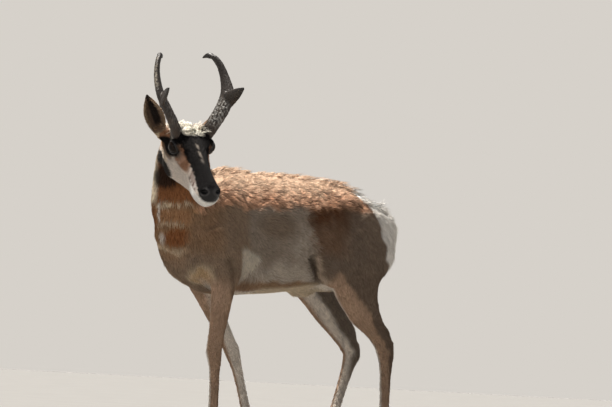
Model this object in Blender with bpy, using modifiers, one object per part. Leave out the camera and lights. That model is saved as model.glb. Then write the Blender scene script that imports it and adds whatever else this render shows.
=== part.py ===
"""A pronghorn buck, life size, standing with one foreleg drawn back and its head turned to its left.

Metres, +Z up, +X towards the chest, +Y to the animal's left. The flesh is modelled whole, as
overlapping lofts and muscle masses that a voxel remesh fuses, and is then parted along flat cuts,
so that each named part meets its neighbour face to face. Horns, eyes, ears, tail and hooves are
solids of their own, each seated in a socket that clears it by a thin gap.
"""

import math
import random

import bmesh
import bpy
import numpy as np
from mathutils import Matrix, Vector
from mathutils.bvhtree import BVHTree

# Driving sizes of the animal, in metres
WITHERS_HEIGHT = 0.900
HEAD_LENGTH = 0.315
EAR_LENGTH = 0.145
EYE_RADIUS = 0.0212
HOOF_LENGTH = 0.064
HOOF_WIDTH = 0.0225
HOOF_TOE_HEIGHT = 0.040
HOOF_HEEL_HEIGHT = 0.024
TAIL_LENGTH = 0.110

# The gap between neighbouring parts, and the fineness of the fused flesh
GAP = 0.0003
VOXEL = 0.0042
SMOOTHING = 6
TRUNK_SMOOTHING = 70
NODE_TRIANGLES = {
    "torso": 1900,
    "neck": 900,
    "head": 2300,
    "foreleg_left": 740,
    "foreleg_right": 740,
    "hindleg_left": 820,
    "hindleg_right": 820,
}

# The head's pose, by the joint at the nape: turned left, nose down, left side a little higher
NAPE = Vector((0.454, 0.070, 0.958))
HEAD_TURN = math.radians(74)
HEAD_PITCH = math.radians(38)
HEAD_ROLL = math.radians(6)
HEAD_TABLE_LENGTH = 0.315

# Helpers for meshes


def clear_scene():
    for obj in list(bpy.data.objects):
        bpy.data.objects.remove(obj, do_unlink=True)


def new_collection(name):
    made = bpy.data.collections.new(name)
    bpy.context.scene.collection.children.link(made)
    return made


def mesh_object(name, points, faces, collection):
    mesh = bpy.data.meshes.new(name)
    mesh.from_pydata([tuple(p) for p in points], [], faces)
    obj = bpy.data.objects.new(name, mesh)
    collection.objects.link(obj)
    edit_mesh(obj, lambda work: bmesh.ops.recalc_face_normals(work, faces=work.faces))
    return obj


def edit_mesh(obj, change):
    """Runs a change on the object's mesh as a bmesh."""
    work = bmesh.new()
    work.from_mesh(obj.data)
    change(work)
    work.to_mesh(obj.data)
    work.free()
    return obj


def apply_modifiers(obj):
    """Puts the object's evaluated mesh in place of its own."""
    graph = bpy.context.evaluated_depsgraph_get()
    graph.update()
    mesh = bpy.data.meshes.new_from_object(obj.evaluated_get(graph))
    obj.modifiers.clear()
    old = obj.data
    obj.data = mesh
    bpy.data.meshes.remove(old)
    return obj


def copy_object(obj, name, collection):
    made = bpy.data.objects.new(name, obj.data.copy())
    collection.objects.link(made)
    return made


def remove(objects):
    for obj in objects:
        bpy.data.objects.remove(obj, do_unlink=True)


def join_meshes(name, objects, collection):
    """One object that holds every loose body of the given objects, which are removed."""
    work = bmesh.new()
    for obj in objects:
        work.from_mesh(obj.data)
    mesh = bpy.data.meshes.new(name)
    work.to_mesh(mesh)
    work.free()
    remove(objects)
    joined = bpy.data.objects.new(name, mesh)
    collection.objects.link(joined)
    return joined


def loose_bodies(work):
    """The loose bodies of a bmesh, each a list of faces, largest first."""
    seen, found = set(), []
    for start in work.faces:
        if start in seen:
            continue
        seen.add(start)
        stack, group = [start], []
        while stack:
            face = stack.pop()
            group.append(face)
            for edge in face.edges:
                for other in edge.link_faces:
                    if other not in seen:
                        seen.add(other)
                        stack.append(other)
        found.append(group)
    return sorted(found, key=len, reverse=True)


def drop_scraps(work):
    """Keeps only the largest closed surface, which also fills a hollow that fusing seals."""
    scraps = [face for group in loose_bodies(work)[1:] for face in group]
    bmesh.ops.delete(work, geom=scraps, context="FACES")
    loose = [vert for vert in work.verts if not vert.link_faces]
    bmesh.ops.delete(work, geom=loose, context="VERTS")


def keep_beyond(obj, point, normal):
    """Cuts the solid with a plane, keeps what lies on the normal's side and closes the cut."""

    def cut(work):
        bmesh.ops.bisect_plane(
            work,
            geom=work.verts[:] + work.edges[:] + work.faces[:],
            plane_co=point,
            plane_no=normal,
            clear_inner=True,
        )
        rim = [edge for edge in work.edges if edge.is_boundary]
        bmesh.ops.holes_fill(work, edges=rim, sides=0)
        bmesh.ops.triangulate(work, faces=[f for f in work.faces if len(f.verts) > 4])
        drop_scraps(work)

    return edit_mesh(obj, cut)


def boolean(obj, others, operation, solver="EXACT"):
    """Joins the other closed meshes to the object, or cuts them from it, and removes them."""
    tools = new_collection("tools")
    for other in others:
        for home in list(other.users_collection):
            home.objects.unlink(other)
        tools.objects.link(other)
    step = obj.modifiers.new("boolean", "BOOLEAN")
    step.operand_type = "COLLECTION"
    step.collection = tools
    step.operation = operation
    step.solver = solver
    apply_modifiers(obj)
    remove(list(tools.objects))
    bpy.data.collections.remove(tools)
    return edit_mesh(obj, finish_cut)


def finish_cut(work):
    bmesh.ops.remove_doubles(work, verts=work.verts, dist=0.00002)
    bmesh.ops.dissolve_degenerate(work, edges=work.edges, dist=0.00002)
    bmesh.ops.triangulate(work, faces=work.faces)
    drop_scraps(work)


def thin_out(obj, triangles):
    """Lowers the mesh to about so many triangles."""
    full = sum(len(face.vertices) - 2 for face in obj.data.polygons)
    step = obj.modifiers.new("thin", "DECIMATE")
    step.ratio = min(1.0, triangles / full)
    apply_modifiers(obj)
    return edit_mesh(obj, finish_cut)


# Helpers for forms


def smooth_rows(rows, steps):
    """A Catmull-Rom curve through rows of numbers, with the given steps to each span."""
    rows = np.array(rows, float)
    padded = np.vstack([2 * rows[0] - rows[1], rows, 2 * rows[-1] - rows[-2]])
    made = []
    for i in range(len(rows) - 1):
        a, b, c, d = padded[i : i + 4]
        for t in np.arange(steps) / steps:
            bend = (2 * a - 5 * b + 4 * c - d) * t**2 + (3 * b - a - 3 * c + d) * t**3
            made.append(0.5 * (2 * b + (c - a) * t + bend))
    made.append(rows[-1])
    return np.array(made)


def tube_faces(rings, sides):
    """Quads between rings of points, with a cap on each end."""
    faces = []
    for i in range(rings - 1):
        for k in range(sides):
            a, b = i * sides + k, i * sides + (k + 1) % sides
            faces.append((a, b, b + sides, a + sides))
    faces.append(tuple(reversed(range(sides))))
    faces.append(tuple(range((rings - 1) * sides, rings * sides)))
    return faces


def loft(name, rows, fore, collection, steps=3, power=2.0, sides=20, grow=0.0):
    """A closed tube through rows of (x, y, z, half size to the fore, half size aft, half width).

    Each ring lies square to the tube's axis, and fore is the direction that its first size is
    measured in. A power over 2 makes the rings squarer, and grow widens all of them.
    """
    table = smooth_rows(rows, steps)
    centres = table[:, :3]
    tangents = np.gradient(centres, axis=0)
    tangents /= np.linalg.norm(tangents, axis=1)[:, None]
    centres[0] -= tangents[0] * grow
    centres[-1] += tangents[-1] * grow
    points = []
    for centre, tangent, sizes in zip(centres, tangents, np.abs(table[:, 3:]) + grow):
        along = Vector(tangent)
        front = Vector(fore)
        front = (front - along * front.dot(along)).normalized()
        side = along.cross(front)
        for k in range(sides):
            angle = 2 * math.pi * k / sides
            c, s = math.cos(angle), math.sin(angle)
            across = math.copysign(abs(c) ** (2 / power), c) * sizes[2]
            ahead = math.copysign(abs(s) ** (2 / power), s) * sizes[0 if s > 0 else 1]
            points.append(Vector(centre) + side * across + front * ahead)
    return mesh_object(name, points, tube_faces(len(centres), sides), collection)


def ellipsoid(name, centre, radii, pitch, collection, segments=24):
    """A closed egg of three radii, pitched about the Y axis, nose down when positive."""
    place = Matrix.Translation(centre) @ Matrix.Rotation(math.radians(pitch), 4, "Y")
    work = bmesh.new()
    bmesh.ops.create_uvsphere(
        work,
        u_segments=segments,
        v_segments=segments // 2,
        radius=1,
        matrix=place @ Matrix.Diagonal((*radii, 1)),
    )
    mesh = bpy.data.meshes.new(name)
    work.to_mesh(mesh)
    work.free()
    made = bpy.data.objects.new(name, mesh)
    collection.objects.link(made)
    return made


# Coordinates of the head: forward along the muzzle, left, and up out of the forehead


def head_matrix():
    turned = (
        Matrix.Rotation(HEAD_TURN, 4, "Z")
        @ Matrix.Rotation(HEAD_PITCH, 4, "Y")
        @ Matrix.Rotation(HEAD_ROLL, 4, "X")
    )
    scale = Matrix.Diagonal((HEAD_LENGTH / HEAD_TABLE_LENGTH,) * 3 + (1,))
    return Matrix.Translation(NAPE) @ turned @ scale


def move(objects, place):
    for obj in objects:
        obj.data.transform(place)
    return objects


# Trunk and neck

# x, drop of the back below the withers, depth from back to belly, half width
TRUNK = (
    (-0.484, 0.135, 0.075, 0.028),
    (-0.468, 0.100, 0.158, 0.068),
    (-0.435, 0.060, 0.236, 0.098),
    (-0.380, 0.030, 0.296, 0.118),
    (-0.310, 0.013, 0.327, 0.127),
    (-0.220, 0.008, 0.345, 0.128),
    (-0.120, 0.008, 0.361, 0.146),
    (-0.010, 0.011, 0.374, 0.160),
    (0.090, 0.012, 0.382, 0.158),
    (0.180, 0.003, 0.399, 0.140),
    (0.260, 0.008, 0.388, 0.122),
    (0.330, 0.036, 0.334, 0.105),
    (0.385, 0.085, 0.235, 0.084),
    (0.420, 0.140, 0.140, 0.056),
    (0.436, 0.180, 0.070, 0.022),
)
WIDEST = 0.46

# x, y, z, half size to the throat, half size to the nape, half width
NECK = (
    (0.215, 0.000, 0.725, 0.150, 0.150, 0.100),
    (0.295, 0.000, 0.735, 0.148, 0.135, 0.106),
    (0.345, 0.000, 0.775, 0.122, 0.118, 0.098),
    (0.375, 0.008, 0.825, 0.098, 0.098, 0.084),
    (0.398, 0.023, 0.870, 0.083, 0.082, 0.073),
    (0.415, 0.040, 0.910, 0.074, 0.070, 0.066),
    (0.428, 0.060, 0.945, 0.062, 0.060, 0.058),
    (0.440, 0.085, 0.962, 0.046, 0.046, 0.048),
)


# Muscles: name, centre on the left side, radii, pitch in degrees
MIDDLE_MASSES = (
    ("sheath", (-0.150, 0.0, 0.527), (0.060, 0.018, 0.020), 6),
    ("groin", (-0.240, 0.0, 0.560), (0.075, 0.060, 0.030), 0),
)
SHOULDER_MASSES = (
    ("blade", (0.228, 0.080, 0.738), (0.085, 0.050, 0.132), 24),
    ("arm", (0.286, 0.084, 0.652), (0.090, 0.047, 0.066), -38),
    ("triceps", (0.208, 0.098, 0.648), (0.084, 0.046, 0.086), 20),
    ("breast", (0.318, 0.048, 0.606), (0.070, 0.052, 0.062), 40),
)
THIGH_MASSES = (
    ("hip", (-0.250, 0.074, 0.812), (0.090, 0.046, 0.050), 8),
    ("stifle", (-0.222, 0.097, 0.640), (0.078, 0.050, 0.105), -35),
    ("buttock", (-0.408, 0.070, 0.720), (0.068, 0.060, 0.118), -8),
)
# The right foreleg is drawn back, and takes its shoulder a little way with it
RIGHT_SHOULDER_SHIFT = -0.020


def masses(table, side, pieces, shift=0.0):
    """The eggs of a table of masses, on the left side or mirrored to the right."""
    made = []
    for name, (forward, left, up), radii, pitch in table:
        centre = (forward + shift, side * left, up)
        made.append(ellipsoid(name, centre, radii, pitch, pieces))
    return made


def trunk_pieces(pieces):
    rows = []
    for x, drop, depth, half in TRUNK:
        back = WITHERS_HEIGHT - drop
        upper = depth * (1 - WIDEST)
        rows.append((x, 0, back - upper, upper, depth - upper, half))
    made = [
        loft("trunk", rows, (0, 0, 1), pieces, sides=28, power=2.15),
        loft("neck_tube", NECK, (1, 0, -0.35), pieces, sides=24),
    ]
    made += masses(MIDDLE_MASSES, 1, pieces)
    made += masses(SHOULDER_MASSES, 1, pieces)
    made += masses(SHOULDER_MASSES, -1, pieces, RIGHT_SHOULDER_SHIFT)
    made += masses(THIGH_MASSES, 1, pieces) + masses(THIGH_MASSES, -1, pieces)
    return made


# Legs

# x, y, z, half size to the fore, half size aft, half width, of a leg that stands square
FORELEG = (
    (0.235, 0.085, 0.660, 0.080, 0.085, 0.044),
    (0.248, 0.092, 0.600, 0.058, 0.075, 0.044),
    (0.258, 0.094, 0.555, 0.045, 0.056, 0.040),
    (0.262, 0.092, 0.510, 0.038, 0.042, 0.035),
    (0.266, 0.090, 0.450, 0.031, 0.033, 0.029),
    (0.270, 0.087, 0.395, 0.0255, 0.0265, 0.0240),
    (0.273, 0.085, 0.358, 0.0250, 0.0240, 0.0228),
    (0.274, 0.084, 0.332, 0.0250, 0.0225, 0.0238),
    (0.271, 0.083, 0.302, 0.0200, 0.0215, 0.0205),
    (0.268, 0.082, 0.270, 0.0158, 0.0182, 0.0160),
    (0.265, 0.081, 0.210, 0.0140, 0.0162, 0.0145),
    (0.263, 0.080, 0.150, 0.0146, 0.0172, 0.0152),
    (0.262, 0.080, 0.118, 0.0180, 0.0225, 0.0200),
    (0.270, 0.080, 0.092, 0.0168, 0.0196, 0.0190),
    (0.282, 0.080, 0.066, 0.0185, 0.0192, 0.0210),
    (0.291, 0.080, 0.044, 0.0215, 0.0210, 0.0228),
    (0.297, 0.080, 0.010, 0.0215, 0.0210, 0.0222),
)
HINDLEG = (
    (-0.335, 0.055, 0.830, 0.100, 0.095, 0.052),
    (-0.340, 0.072, 0.760, 0.135, 0.128, 0.068),
    (-0.328, 0.084, 0.690, 0.150, 0.135, 0.076),
    (-0.305, 0.092, 0.630, 0.145, 0.132, 0.070),
    (-0.300, 0.096, 0.575, 0.105, 0.102, 0.056),
    (-0.318, 0.097, 0.525, 0.068, 0.074, 0.044),
    (-0.350, 0.095, 0.475, 0.050, 0.052, 0.034),
    (-0.388, 0.092, 0.430, 0.037, 0.041, 0.0265),
    (-0.425, 0.090, 0.392, 0.031, 0.043, 0.0250),
    (-0.444, 0.088, 0.358, 0.0275, 0.0400, 0.0240),
    (-0.451, 0.087, 0.318, 0.0210, 0.0270, 0.0188),
    (-0.454, 0.086, 0.268, 0.0168, 0.0202, 0.0165),
    (-0.457, 0.085, 0.205, 0.0152, 0.0182, 0.0155),
    (-0.459, 0.084, 0.150, 0.0158, 0.0190, 0.0163),
    (-0.459, 0.083, 0.120, 0.0185, 0.0235, 0.0204),
    (-0.451, 0.083, 0.094, 0.0172, 0.0200, 0.0194),
    (-0.439, 0.083, 0.067, 0.0185, 0.0192, 0.0210),
    (-0.430, 0.083, 0.044, 0.0215, 0.0210, 0.0228),
    (-0.424, 0.083, 0.010, 0.0215, 0.0210, 0.0222),
)
# The point of the hock, by the row that it grows from
HEEL_ROW = 9
HEEL_OFFSET = (-0.030, 0.016)
HEEL_RADII = (0.015, 0.013, 0.034)
HEEL_PITCH = -28

# Each leg's pose: height on the square leg, shift forward, shift up
POSES = {
    "foreleg_left": ((0.0, 0.0, 0.0), (0.9, 0.0, 0.0)),
    "foreleg_right": (
        (0.000, -0.290, 0.000),
        (0.060, -0.290, 0.002),
        (0.118, -0.288, 0.012),
        (0.332, -0.222, 0.008),
        (0.555, -0.070, -0.010),
        (0.660, 0.000, 0.000),
    ),
    "hindleg_left": ((0.0, 0.0, 0.0), (0.9, 0.0, 0.0)),
    "hindleg_right": (
        (0.000, 0.078, 0.000),
        (0.060, 0.078, 0.000),
        (0.120, 0.070, 0.004),
        (0.358, -0.024, -0.006),
        (0.575, -0.004, 0.000),
        (0.690, 0.000, 0.000),
    ),
}


def side_of(name):
    return 1 if name.endswith("left") else -1


def posed_rows(leg):
    """The rows of a leg's loft, mirrored to its side and moved to its pose."""
    heights, shifts, lifts = np.array(POSES[leg]).T
    rows = []
    for x, y, z, fore, aft, wide in FORELEG if leg.startswith("fore") else HINDLEG:
        dx, dz = np.interp(z, heights, shifts), np.interp(z, heights, lifts)
        rows.append((x + dx, side_of(leg) * y, z + dz, fore, aft, wide))
    return rows


def leg_pieces(pieces):
    made = []
    for leg in POSES:
        rows = posed_rows(leg)
        made.append(loft(leg, rows, (1, 0, 0.05), pieces, sides=18))
        if leg.startswith("hind"):
            x, y, z = rows[HEEL_ROW][:3]
            heel = (x + HEEL_OFFSET[0], y, z + HEEL_OFFSET[1])
            made.append(ellipsoid("heel", heel, HEEL_RADII, HEEL_PITCH, pieces))
    return made


def foot_centre(leg):
    """Where the leg's axis comes down to the hooves."""
    x, y = posed_rows(leg)[-1][:2]
    return Vector((x, y, 0))


# A claw's levels from sole to rim, and its shape
CLAW_LEVELS = (0.0, 0.12, 0.55, 1.0)
CLAW_SIDES = 14
RIM_SHARE = 0.74
TOE_LEAN = 0.010
TOE_TAPER = 0.38
CLEFT = 0.0012


def crown_height(x):
    """Height of the hoof's upper rim, a straight line from heel to toe."""
    middle = (HOOF_TOE_HEIGHT + HOOF_HEEL_HEIGHT) / 2
    return middle + (HOOF_TOE_HEIGHT - HOOF_HEEL_HEIGHT) * x / (RIM_SHARE * HOOF_LENGTH)


def claw(name, leg, side, parts):
    """One half of a cloven hoof: a pointed sole that narrows to the rim under the pastern."""
    foot = foot_centre(leg)
    points = []
    for level in CLAW_LEVELS:
        bevel = 0.94 if level == 0 else 1.0
        length = HOOF_LENGTH * bevel * (1.03 - (1.03 - RIM_SHARE) * level) / 2
        width = HOOF_WIDTH * bevel * (1.0 - 0.06 * level) / 2
        for k in range(CLAW_SIDES):
            angle = 2 * math.pi * k / CLAW_SIDES
            c, s = math.cos(angle), math.sin(angle)
            taper = 1 - TOE_TAPER * max(c, 0) ** 2
            x = c * length + TOE_LEAN * (1 - level)
            bulge = s * width * taper * (1 if s > 0 else 0.86)
            y = side * (bulge + HOOF_WIDTH / 2 + CLEFT * (1 - max(c, 0)))
            points.append(foot + Vector((x, y, level * crown_height(x))))
    return mesh_object(name, points, tube_faces(len(CLAW_LEVELS), CLAW_SIDES), parts)


# Head

# forward, top, bottom, half width
HEAD = (
    (-0.030, 0.040, -0.034, 0.036),
    (0.000, 0.052, -0.064, 0.049),
    (0.045, 0.062, -0.078, 0.056),
    (0.085, 0.072, -0.078, 0.056),
    (0.125, 0.074, -0.068, 0.050),
    (0.160, 0.067, -0.058, 0.041),
    (0.200, 0.058, -0.050, 0.033),
    (0.240, 0.050, -0.044, 0.0290),
    (0.270, 0.045, -0.040, 0.0285),
    (0.292, 0.039, -0.034, 0.0270),
    (0.307, 0.029, -0.018, 0.0200),
    (0.314, 0.018, 0.000, 0.0090),
)
EYE = Vector((0.108, 0.0510, 0.042))
EAR_ROOT = Vector((0.018, 0.0655, 0.0255))
MOUTH_CORNER = 0.238
MOUTH_HEIGHT = -0.0265
MOUTH_OPENING = 0.0014
MOUTH_SLAB = 0.100
# Masses of the head: name, centre on the left side, radii, pitch in degrees
MIDDLE_HEAD_MASSES = (
    ("chin", (0.272, 0.0, -0.032), (0.032, 0.020, 0.014), -4),
    ("bridge", (0.220, 0.0, 0.042), (0.070, 0.015, 0.014), 9),
    ("poll", (0.040, 0.0, 0.044), (0.042, 0.042, 0.026), 0),
)
FACE_MASSES = (
    ("brow", (0.104, 0.046, 0.056), (0.036, 0.024, 0.024), 12),
    ("orbit", (0.112, 0.043, 0.044), (0.044, 0.0275, 0.031), 4),
    ("jaw", (0.078, 0.030, -0.032), (0.055, 0.028, 0.042), -10),
    ("cheekbone", (0.140, 0.034, 0.012), (0.048, 0.016, 0.018), 4),
    ("nostril", (0.292, 0.0165, 0.020), (0.020, 0.0130, 0.016), -14),
    ("lip", (0.272, 0.0155, -0.010), (0.034, 0.0150, 0.016), -4),
    ("horn_seat", (0.086, 0.046, 0.064), (0.030, 0.022, 0.022), 0),
    ("ear_seat", (0.018, 0.053, 0.027), (0.025, 0.022, 0.026), 0),
)
# The lids stand round the eye, and the slit and the nostril are cut out
LIDS = ("lids", (0.109, 0.052, 0.042), (0.0285, 0.0225, 0.0225), 6)
SLIT = ("slit", (0.110, 0.079, 0.0415), (0.0205, 0.0170, 0.0145), 8)
NOSTRIL = ("nostril", (0.3035, 0.0215, 0.0210), (0.0110, 0.0058, 0.0060), -35)
LID_SEGMENTS = 18
SLIT_SEGMENTS = 16
NOSTRIL_SEGMENTS = 12


def head_pieces(pieces):
    rows = []
    for forward, top, bottom, half in HEAD:
        middle = (top + bottom) / 2
        rows.append((forward, 0, middle, top - middle, middle - bottom, half))
    made = [
        loft("skull", rows, (0, 0, 1), pieces, sides=24, power=2.25),
    ]
    made += masses(MIDDLE_HEAD_MASSES, 1, pieces)
    made += masses(FACE_MASSES, 1, pieces) + masses(FACE_MASSES, -1, pieces)
    return move(made, head_matrix())


def face_form(form, side, collection, segments):
    """One egg of the face, on the left side or mirrored to the right, not yet posed."""
    name, (forward, left, up), radii, pitch = form
    return ellipsoid(name, (forward, side * left, up), radii, pitch, collection, segments)


def eyeball(name, side, collection, grow=0.0):
    form = (name, tuple(EYE), (EYE_RADIUS + grow,) * 3, 0)
    return move([face_form(form, side, collection, LID_SEGMENTS)], head_matrix())[0]


def mouth_line(cutters):
    """A thin slab that parts the lips from the corners of the mouth to the front."""
    work = bmesh.new()
    size = (MOUTH_SLAB, MOUTH_SLAB, MOUTH_OPENING)
    place = Matrix.Translation((MOUTH_CORNER + size[0] / 2, 0, MOUTH_HEIGHT))
    bmesh.ops.create_cube(work, size=1, matrix=place @ Matrix.Diagonal((*size, 1)))
    mesh = bpy.data.meshes.new("mouth")
    work.to_mesh(mesh)
    work.free()
    slab = bpy.data.objects.new("mouth", mesh)
    cutters.objects.link(slab)
    return slab


def cut_face(head, pieces, cutters):
    """Gives the head its lids, nostrils and the line of its mouth."""
    lids = [face_form(LIDS, side, pieces, LID_SEGMENTS) for side in (1, -1)]
    boolean(head, move(lids, head_matrix()), "UNION")
    tools = [mouth_line(cutters)]
    for side in (1, -1):
        tools.append(face_form(SLIT, side, cutters, SLIT_SEGMENTS))
        tools.append(face_form(NOSTRIL, side, cutters, NOSTRIL_SEGMENTS))
    boolean(head, move(tools, head_matrix()), "DIFFERENCE")
    sockets = [eyeball("socket", side, cutters, GAP) for side in (1, -1)]
    return boolean(head, sockets, "DIFFERENCE")


# Horns, in head coordinates: forward, left, up, half depth fore and aft, half thickness
HORN = (
    (0.0860, 0.0450, 0.0690, 0.0185, 0.0185, 0.0140),
    (0.0860, 0.0525, 0.0860, 0.0215, 0.0215, 0.0150),
    (0.0780, 0.0680, 0.1150, 0.0245, 0.0235, 0.0135),
    (0.0640, 0.0860, 0.1450, 0.0270, 0.0240, 0.0120),
    (0.0430, 0.1010, 0.1700, 0.0290, 0.0230, 0.0110),
    (0.0180, 0.1070, 0.1880, 0.0210, 0.0195, 0.0100),
    (-0.0170, 0.1060, 0.2080, 0.0145, 0.0150, 0.0090),
    (-0.0480, 0.0990, 0.2260, 0.0125, 0.0130, 0.0080),
    (-0.0760, 0.0860, 0.2340, 0.0112, 0.0115, 0.0078),
    (-0.0930, 0.0740, 0.2280, 0.0085, 0.0088, 0.0065),
    (-0.1020, 0.0630, 0.2130, 0.0030, 0.0030, 0.0025),
)
PRONG = (
    (0.0330, 0.0960, 0.1540, 0.0140, 0.0120, 0.0050),
    (0.0480, 0.1010, 0.1700, 0.0290, 0.0200, 0.0080),
    (0.0660, 0.1065, 0.1950, 0.0260, 0.0185, 0.0080),
    (0.0850, 0.1120, 0.2210, 0.0170, 0.0120, 0.0065),
    (0.1040, 0.1175, 0.2460, 0.0030, 0.0040, 0.0025),
)
# The way that each blade is broad, on the left horn
HORN_BROAD = (0.90, 0.43, 0.11)
PRONG_BROAD = (0.64, 0.26, -0.52)
HORN_SIDES = 12
HORN_STEPS = 3


def mirrored(rows, side):
    return [(row[0], side * row[1], *row[2:]) for row in rows]


def horn(name, side, parts):
    """A flat horn that leans out, throws a prong forward and hooks in and back at its tip."""
    broad, prong_broad = mirrored((HORN_BROAD, PRONG_BROAD), side)
    made = loft(name, mirrored(HORN, side), broad, parts, steps=HORN_STEPS, sides=HORN_SIDES)
    prong = loft("prong", mirrored(PRONG, side), prong_broad, parts, steps=2, sides=10)
    boolean(made, [prong], "UNION")
    move([made], head_matrix())
    return made


def horn_socket(side, cutters):
    broad = mirrored((HORN_BROAD,), side)[0]
    rows = mirrored(HORN, side)
    sizes = {"steps": HORN_STEPS, "sides": HORN_SIDES, "grow": GAP}
    return move([loft("socket", rows, broad, cutters, **sizes)], head_matrix())[0]


# Ears: distance from the root, half size to the opening, half size to the back, half width
EAR = (
    (-0.016, 0.0100, 0.0100, 0.0110),
    (0.000, 0.0130, 0.0130, 0.0150),
    (0.022, 0.0130, 0.0170, 0.0215),
    (0.050, 0.0110, 0.0190, 0.0285),
    (0.080, 0.0090, 0.0170, 0.0280),
    (0.108, 0.0065, 0.0120, 0.0200),
    (0.128, 0.0040, 0.0070, 0.0115),
    (EAR_LENGTH, 0.0012, 0.0020, 0.0025),
)
EAR_WALL = 0.0032
EAR_OPENING_REACH = 0.030
EAR_SIDES = 14

# Each ear's pose in head coordinates: towards the tip, and towards the opening
EAR_POSES = {
    "ear_right": (Vector((-0.22, -0.43, 0.84)), Vector((0.84, -0.46, 0.10))),
    "ear_left": (Vector((-0.60, 0.74, 0.12)), Vector((0.70, 0.58, -0.41))),
}


def ear_matrix(name):
    axis, opening = EAR_POSES[name]
    axis = axis.normalized()
    opening = (opening - axis * opening.dot(axis)).normalized()
    across = axis.cross(opening)
    root = Vector((EAR_ROOT.x, side_of(name) * EAR_ROOT.y, EAR_ROOT.z))
    turned = Matrix((opening, across, axis)).transposed().to_4x4()
    return head_matrix() @ Matrix.Translation(root) @ turned


def ear(name, parts, cutters):
    """A leaf-shaped shell, hollowed from its opening down to the root."""
    rows = [(0, 0, t, fore, aft, wide) for t, fore, aft, wide in EAR]
    made = loft(name, rows, (1, 0, 0), parts, steps=2, sides=EAR_SIDES)
    cup = []
    for t, fore, aft, wide in EAR[2:-1]:
        cup.append((0, 0, t, EAR_OPENING_REACH, aft - EAR_WALL, wide - EAR_WALL))
    hollow = loft("hollow", cup, (1, 0, 0), cutters, steps=2, sides=EAR_SIDES)
    boolean(made, [hollow], "DIFFERENCE")
    return move([made], ear_matrix(name))[0]


def ear_socket(name, cutters):
    rows = [(0, 0, t, fore, aft, wide) for t, fore, aft, wide in EAR]
    socket = loft("socket", rows, (1, 0, 0), cutters, steps=2, sides=EAR_SIDES, grow=GAP)
    return move([socket], ear_matrix(name))[0]


# Tail

# distance along the tail, half size to the back, half size to the rump, half width
TAIL = (
    (0.0, 0.015, 0.015, 0.017),
    (0.25, 0.017, 0.015, 0.023),
    (0.55, 0.015, 0.012, 0.024),
    (0.85, 0.010, 0.008, 0.015),
    (1.0, 0.003, 0.003, 0.004),
)
TAIL_ROOT = Vector((-0.452, 0, 0.812))
# How far the tail stands off the rump, how soon it does, and how it then hangs
TAIL_BEND = Vector((-0.040, 0, -0.018))
TAIL_BEND_RATE = 2.2
TAIL_DROP = 0.92
TAIL_DROP_POWER = 1.25


def tail(name, parts, grow=0.0):
    """A short flat tail that comes off the croup and hangs against the rump."""
    rows = []
    for t, back, rump, wide in TAIL:
        along = TAIL_BEND * math.sin(min(t * TAIL_BEND_RATE, math.pi / 2))
        hang = TAIL_LENGTH * TAIL_DROP * t**TAIL_DROP_POWER
        place = TAIL_ROOT + along - Vector((0, 0, hang))
        rows.append((*place, back, rump, wide))
    return loft(name, rows, (-1, 0, 0.2), parts, sides=14, grow=grow)


# Locks of long hair

# Along a lock: distance, share of its width, share of its thickness
LOCK_PROFILE = (
    (0.0, 0.75, 1.0),
    (0.28, 1.0, 0.9),
    (0.58, 0.8, 0.6),
    (0.84, 0.45, 0.35),
    (1.0, 0.08, 0.12),
)
# The share of half a wave that a lock's lift runs through, and how deep its root is sunk
LOCK_WAVE = 0.72
LOCK_SINK = 0.55


def lock(root, normal, lie, length, width, thickness, lift, collection):
    """A flat lock that leaves the skin at its root, lies over and comes to a point.

    The lie is the way that the hair runs, and lift is how far the lock stands off half way.
    """
    lie = (lie - normal * lie.dot(normal)).normalized()
    across = normal.cross(lie)
    points = []
    for t, wide, thick in LOCK_PROFILE:
        rise = lift * math.sin(math.pi * t * LOCK_WAVE) - thickness * (1 - t) * LOCK_SINK
        middle = root + lie * length * t + normal * rise
        half, depth = across * width * wide / 2, normal * thickness * thick / 2
        points += [middle + half, middle + depth, middle - half, middle - depth]
    return mesh_object("lock", points, tube_faces(len(LOCK_PROFILE), 4), collection)


def surface(obj):
    """A lookup of the nearest place and normal on an object's surface."""
    work = bmesh.new()
    work.from_mesh(obj.data)
    tree = BVHTree.FromBMesh(work)
    work.free()
    return tree


# The nape's line on the neck's own rows, and how the mane stands on it
MANE_ROWS = 8
MANE_COLUMNS = 3
MANE_LENGTH = 0.062
MANE_WIDTH = 0.026
MANE_THICKNESS = 0.009
MANE_LIFT = 0.014
MANE_SPREAD = math.radians(24)
MANE_FROM, MANE_TO = 3.35, 6.9


def nape_at(t):
    """Centre of the neck, and the way out to its nape, from the withers to the poll."""
    rows = np.array(NECK)[:, :3]
    place = MANE_FROM + (MANE_TO - MANE_FROM) * t
    row = np.array([np.interp(place, range(len(rows)), rows[:, axis]) for axis in range(3)])
    low = Vector((-0.85, 0, 0.52))
    high = head_matrix().to_3x3() @ Vector((-0.80, 0, 0.60))
    return Vector(row), low.lerp(high, t**1.5).normalized()


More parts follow.
